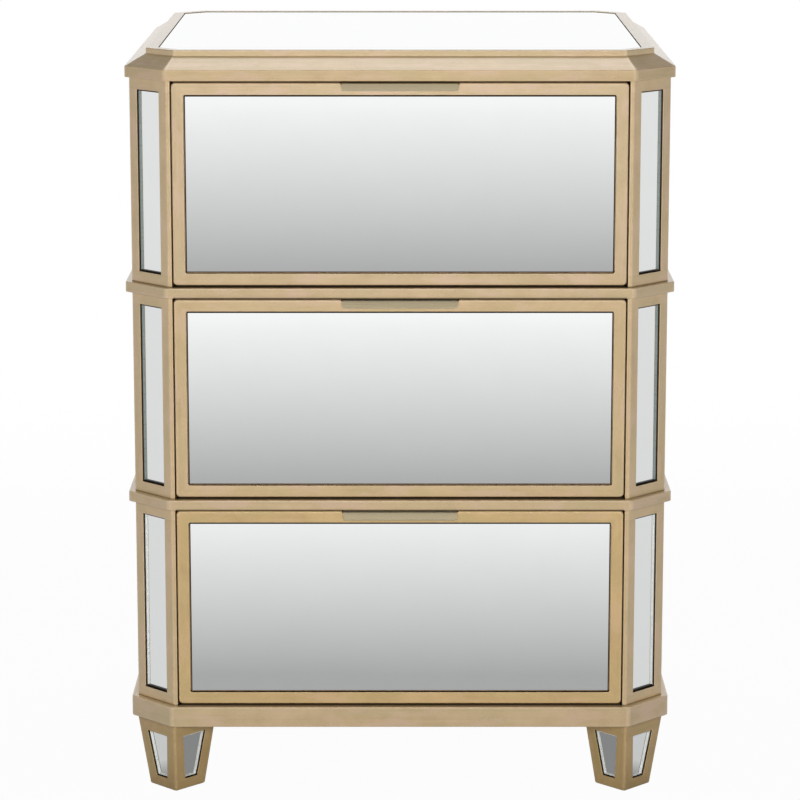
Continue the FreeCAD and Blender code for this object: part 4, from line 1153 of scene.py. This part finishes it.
class BuildDrawers(bpy.types.Operator):
    """Drawer fronts: a gilded frame round a mirror, and the wooden box behind it"""

    bl_idname = "nightstand.drawers"
    bl_label = "Drawers"

    def execute(self, context):
        across = timber("box_timber_across", BOX_RINGS)
        deep = timber("box_timber_deep", BOX_RINGS, -QUARTER_TURN)
        for tier in TIERS:
            name = f"drawer_{tier}"
            self.front(name, tier)
            coat_nodes(across, f"{name}_front_board", f"{name}_box_back")
            coat_nodes(deep, f"{name}_box_sides")
            coat_nodes(pressed_board(), f"{name}_box_bottom")
        return {"FINISHED"}

    def front(self, name, tier):
        """A drawer's gilded frame, with a seat for the pull in its head, and its mirror."""
        size, look = sizes(), finish()
        low, high = span(f"{name}_front_frame")
        mirror_low, mirror_high = span(f"{name}_mirror")
        pull_half = span(f"{name}_pull")[1][0]
        border = high[0] - mirror_high[0] - size.groove
        section, marks = frame_section(border, high[1] - low[1], size.front_round)
        centre = np.array((0.0, low[1], (low[2] + high[2]) / 2))
        corners = rectangle(centre, ACROSS, UP, high[0], (high[2] - low[2]) / 2)
        seat = (2, pull_half + size.seat_gap, size.pull_gauge)
        patch = ring(corners, -DEEP, section, marks, size.front_corner, size.window_corner, seat)
        half_x, thickness, half_z = (mirror_high - mirror_low) * (0.5, 1.0, 0.5)
        level = (mirror_low[2] + mirror_high[2]) / 2
        places = (mirror_high[1], size.groove), (mirror_low[1], size.groove - size.window_gap)
        bed, glass = (
            rectangle((0.0, place, level), ACROSS, UP, half_x + gap, half_z + gap) for place, gap in places
        )
        gilding = [gold_paint(DRAWER_TONES[tier])]
        # Painted shade sheet behind the open line round the drawer's mirror
        patches = [patch, painted_shade_sheet(bed, -DEEP)]
        make_piece(f"{name}_gilt", patches, name, gilding, [f"{name}_front_frame"])
        lean = look.lean * (tier - 1) ** look.lean_growth / look.bow
        thickness -= size.shade_sheet
        make_mirror(f"{name}_glass", glass, -DEEP, thickness, name, f"{name}_mirror", look.bow, lean)


# The lip's middle line stops short of its tip by this share of the gauge
LIP_EASE = 0.35
BEND_STEPS, LIP_STEPS = 6, 7


class BuildPulls(bpy.types.Operator):
    """Bent metal pulls let into the heads of the drawers"""

    bl_idname = "nightstand.pulls"
    bl_label = "Pulls"

    def execute(self, context):
        look = finish()
        metal = plated_steel("brushed_pull_metal", look.pull_metal, PULL_DRAW, look.pull_bare)
        for tier in TIERS:
            name = f"drawer_{tier}_pull"
            patch = self.strip(*span(name), span(f"drawer_{tier}_front_frame")[0][1])
            make_piece(f"{name}_strip", [patch], f"drawer_{tier}", [metal], [name])
            coat_nodes(plated_steel("screw_steel", look.steel, SCREW_DRAW), f"{name}_screws")
        return {"FINISHED"}

    def strip(self, low, high, face):
        """A strip of even gauge along its bent middle line, with the lip's two corners rounded.

        The middle line runs from the leaf's rear edge to the bend and down to the lip. At a distance t
        from an end, the line stops short by r - sqrt(r^2 - (r - t)^2), which rounds the lip's corner.
        """
        size = sizes()
        gauge = size.pull_gauge
        rear = (high[1], high[2] - gauge / 2)
        corner = (face - size.pull_shelf, rear[1])
        tip = low[1:] + gauge * LIP_EASE
        bend = rounded((rear, corner, tip), (0, size.pull_bend, 0), steps=BEND_STEPS)[0]
        line = np.concatenate(((rear,), bend.reshape(3, -1, 2)[1], (tip,)))
        path = around(line)
        radius = size.pull_corner
        near = radius * (1 - np.cos(np.linspace(0, QUARTER_TURN, LIP_STEPS)))
        short = radius - np.sqrt(radius**2 - (radius - near) ** 2)
        places = np.concatenate((near - high[0], high[0] - near[::-1]))[:, None]
        walk = np.minimum(path, path[-1] - np.concatenate((short, short[::-1]))[:, None])
        middle = np.stack([np.interp(walk, path, line[:, axis]) for axis in (0, 1)], axis=-1)
        slope = unit(np.gradient(line, path, axis=0))
        outward = np.stack((slope[:, 1], -slope[:, 0]), axis=1) * gauge / 2
        loop = np.concatenate((middle + outward, (middle - outward)[:, ::-1]), axis=1)
        along = np.broadcast_to(places, loop.shape[:2])
        across = np.broadcast_to(np.append(path, path[::-1] + path[-1]), loop.shape[:2])
        return tube(np.dstack((along, loop)), np.dstack((along, across)))


class BuildSlides(bpy.types.Operator):
    """Plated steel of the telescopic slides"""

    bl_idname = "nightstand.slides"
    bl_label = "Slides"

    def execute(self, context):
        metal = plated_steel("drawn_slide_steel", finish().steel, SLIDE_DRAW)
        for member in ("cabinet", "middle", "drawer"):
            coat_nodes(metal, *(f"slide_{member}_{tier}" for tier in TIERS))
        return {"FINISHED"}


# Floor: where it fades to plain white, in metres, and where reflections stop seeing it, as shares of
# the object's half width
FLOOR_FADE, FLOOR_SEEN = (0.5, 2.0), (0.95, 1.1)
# Room in reflections: levels over a range of slopes, as first slope, last slope, first level, last level
ROOM_FRONT, ROOM_SIDE = (-0.33, 0.02, 0.42, 0.98), (-0.6, 0.0, 0.54, 0.88)
ROOM_ABOVE, ROOM_OVERHEAD = (0.3, 0.75, 1.0, 0.28), (1.4, 4.0, 0.0, 0.5)
# Where front turns to side, by the share of the run that lies across, and the upper room's level there
SIDEWAYS, ROOM_BESIDE = (0.5, 0.9), 0.45
HORIZON, LEAST_RUN = (0.0, 0.04), 0.001
# Glow high up at the back: its direction, and its level over a range of cosines
GLOW_WAY, GLOW = (0.0, 0.5, 0.866), (0.93, 0.99, 0.0, 2.2)
WHITE = (1, 1, 1, 1)


class BuildStage(bpy.types.Operator):
    """Pale floor, soft lamps, even surroundings and the camera"""

    bl_idname = "nightstand.stage"
    bl_label = "Stage"

    def execute(self, context):
        stage = context.scene.nightstand_stage
        context.scene.view_settings.view_transform = "Standard"
        self.make_floor(stage)
        self.make_world(context, stage)
        self.make_lamps(stage)
        camera = bpy.data.cameras.new("camera")
        camera.lens = stage.camera_lens
        camera.sensor_width = stage.camera_sensor
        camera.shift_y = stage.camera_shift
        holder = bpy.data.objects.new("camera", camera)
        holder.location = (0.0, -stage.camera_distance, stage.camera_height)
        holder.rotation_euler = (QUARTER_TURN - math.radians(stage.camera_pitch), 0.0, 0.0)
        context.scene.collection.objects.link(holder)
        context.scene.camera = holder
        return {"FINISHED"}

    @staticmethod
    def bare_tree(holder):
        """The emptied node tree of a material or world, and its two masks: camera rays, reflections."""
        holder.use_nodes = True
        tree = holder.node_tree
        tree.nodes.clear()
        path = add(tree, "LightPath").outputs
        glossy = maths(tree, "MAXIMUM", path["Is Glossy Ray"], path["Is Transmission Ray"])
        return tree, path["Is Camera Ray"], glossy

    def make_floor(self, stage):
        """A wide pale floor. Reflections see it under the object as a fixed dim glow, a painted shade in
        place of its shadow, and the surroundings beyond.
        """
        half = stage.floor_size / 2
        mesh = bpy.data.meshes.new("floor")
        mesh.from_pydata(rectangle((0, 0, 0), ACROSS, DEEP, half, half), [], [(0, 1, 2, 3)])
        floor = bpy.data.objects.new("floor", mesh)
        bpy.context.scene.collection.objects.link(floor)
        sweep = bpy.data.materials.new("floor_sweep")
        mesh.materials.append(sweep)
        tree, seen, glossy = self.bare_tree(sweep)
        parts = parts_of(tree, add(tree, "NewGeometry").outputs["Position"])
        reach = maths(tree, "MAXIMUM", *(maths(tree, "ABSOLUTE", parts[axis]) for axis in "XY"))
        outside = remap(tree, reach, *(cad_box[1][0] * part for part in FLOOR_SEEN))
        near = remap(tree, reach, *FLOOR_FADE, stage.floor_white, way="SMOOTHSTEP")
        # Plain white for the camera, and a fixed dim glow as painted shade for reflections under the object
        white, painted_floor_shade = (
            add(tree, "Emission", {"Color": WHITE, "Strength": level}).outputs[0]
            for level in (1.0, stage.floor_mirrored)
        )
        shown = add(tree, "BsdfDiffuse", {"Color": dimmed(WHITE, stage.floor_lit)}).outputs[0]
        clear = add(tree, "BsdfTransparent").outputs[0]
        for amount, instead in (
            (maths(tree, "MULTIPLY", seen, near), white),
            (glossy, painted_floor_shade),
            (maths(tree, "MULTIPLY", glossy, outside), clear),
        ):
            shown = add(tree, "MixShader", {0: amount, 1: shown, 2: instead}).outputs[0]
        add(tree, "OutputMaterial", {"Surface": shown})

    def make_world(self, context, stage):
        """White to the camera, an even fill to the object, and a graded room to reflections.

        For a direction of slope t, its rise over its run, the room is white from the horizon up to
        t = 0.3, dim above it and dimmer to the sides, paler overhead, with a glow high up at the back.
        Below the horizon it is greyer the lower it lies: towards the front quickly, as a floor that
        darkens near the object, and towards the sides hardly.
        """
        world = bpy.data.worlds.new("surroundings")
        tree, seen, glossy = self.bare_tree(world)
        way = add(tree, "TexCoord").outputs["Generated"]
        parts = parts_of(tree, way)
        level = stretch(tree, way, (1, 1, 0))
        run = add(tree, "VectorMath", {0: level}, operation="LENGTH").outputs["Value"]
        run = maths(tree, "MAXIMUM", run, LEAST_RUN)
        slope = maths(tree, "DIVIDE", parts["Z"], run)
        sideways = maths(tree, "DIVIDE", maths(tree, "ABSOLUTE", parts["X"]), run)
        sideways = remap(tree, sideways, *SIDEWAYS, way="SMOOTHSTEP")
        low = blend(tree, sideways, remap(tree, slope, *ROOM_FRONT), remap(tree, slope, *ROOM_SIDE))
        high = remap(tree, slope, *ROOM_ABOVE, "SMOOTHSTEP")
        high = maths(tree, "MULTIPLY", high, blend(tree, sideways, 1.0, ROOM_BESIDE))
        high = maths(tree, "ADD", high, remap(tree, slope, *ROOM_OVERHEAD, "SMOOTHSTEP"))
        near = add(tree, "VectorMath", {0: way, 1: GLOW_WAY}, operation="DOT_PRODUCT").outputs["Value"]
        high = maths(tree, "ADD", high, remap(tree, near, *GLOW, "SMOOTHSTEP"))
        room = blend(tree, remap(tree, slope, *HORIZON), low, high)
        lit = blend(tree, glossy, stage.fill_strength, room)
        sky = {"Color": WHITE, "Strength": maths(tree, "MAXIMUM", lit, seen)}
        add(tree, "OutputWorld", {"Surface": add(tree, "Background", sky).outputs[0]})
        context.scene.world = world

    def make_lamps(self, stage):
        """A soft lamp in front, one overhead and one behind each side, all aimed at the middle."""
        aim = Vector((0.0, 0.0, cad_box[1][2] / 2))
        for name, place, width, height, power in (
            ("key", (0.0, -2.0, 0.65), 0.8, 0.7, stage.key_power),
            ("overhead", (0.0, 0.75, 2.9), 1.6, 0.7, stage.top_power),
            *((f"side_{name}", (2.4 * side, 2.2, 1.6), 0.9, 1.4, stage.side_power) for name, side in SIDES),
        ):
            lamp = bpy.data.lights.new(name, "AREA")
            lamp.shape = "RECTANGLE"
            lamp.size, lamp.size_y = width, height
            lamp.energy = power
            holder = bpy.data.objects.new(name, lamp)
            holder.location = place
            holder.rotation_euler = (aim - holder.location).to_track_quat("-Z", "Y").to_euler()
            holder.visible_camera = False
            holder.visible_glossy = False
            bpy.context.scene.collection.objects.link(holder)


OPERATORS = (
    BuildTop,
    BuildBelts,
    BuildPosts,
    BuildSides,
    BuildFeet,
    BuildDrawers,
    BuildPulls,
    BuildSlides,
    BuildStage,
)


class NightstandPanel(bpy.types.Panel):
    """Lists the operators in the sidebar"""

    bl_idname = "VIEW3D_PT_nightstand"
    bl_label = "Nightstand"
    bl_space_type = "VIEW_3D"
    bl_region_type = "UI"
    bl_category = "Nightstand"

    def draw(self, context):
        for operator in OPERATORS:
            self.layout.operator(operator.bl_idname)


SETTINGS = (
    ("nightstand_sizes", NightstandSizes),
    ("nightstand_finish", NightstandFinish),
    ("nightstand_stage", NightstandStage),
)


def register():
    """Register the settings, operators and panel."""
    for name, group in SETTINGS:
        bpy.utils.register_class(group)
        setattr(bpy.types.Scene, name, PointerProperty(type=group))
    for kind in (*OPERATORS, NightstandPanel):
        bpy.utils.register_class(kind)


def unregister():
    """Take the settings, operators and panel away again."""
    for kind in (NightstandPanel, *reversed(OPERATORS)):
        bpy.utils.unregister_class(kind)
    for name, group in reversed(SETTINGS):
        delattr(bpy.types.Scene, name)
        bpy.utils.unregister_class(group)


def main():
    """Build every piece and the stage."""
    register()
    for operator in OPERATORS:
        family, name = operator.bl_idname.split(".")
        getattr(getattr(bpy.ops, family), name)()


if __name__ == "__main__":
    main()
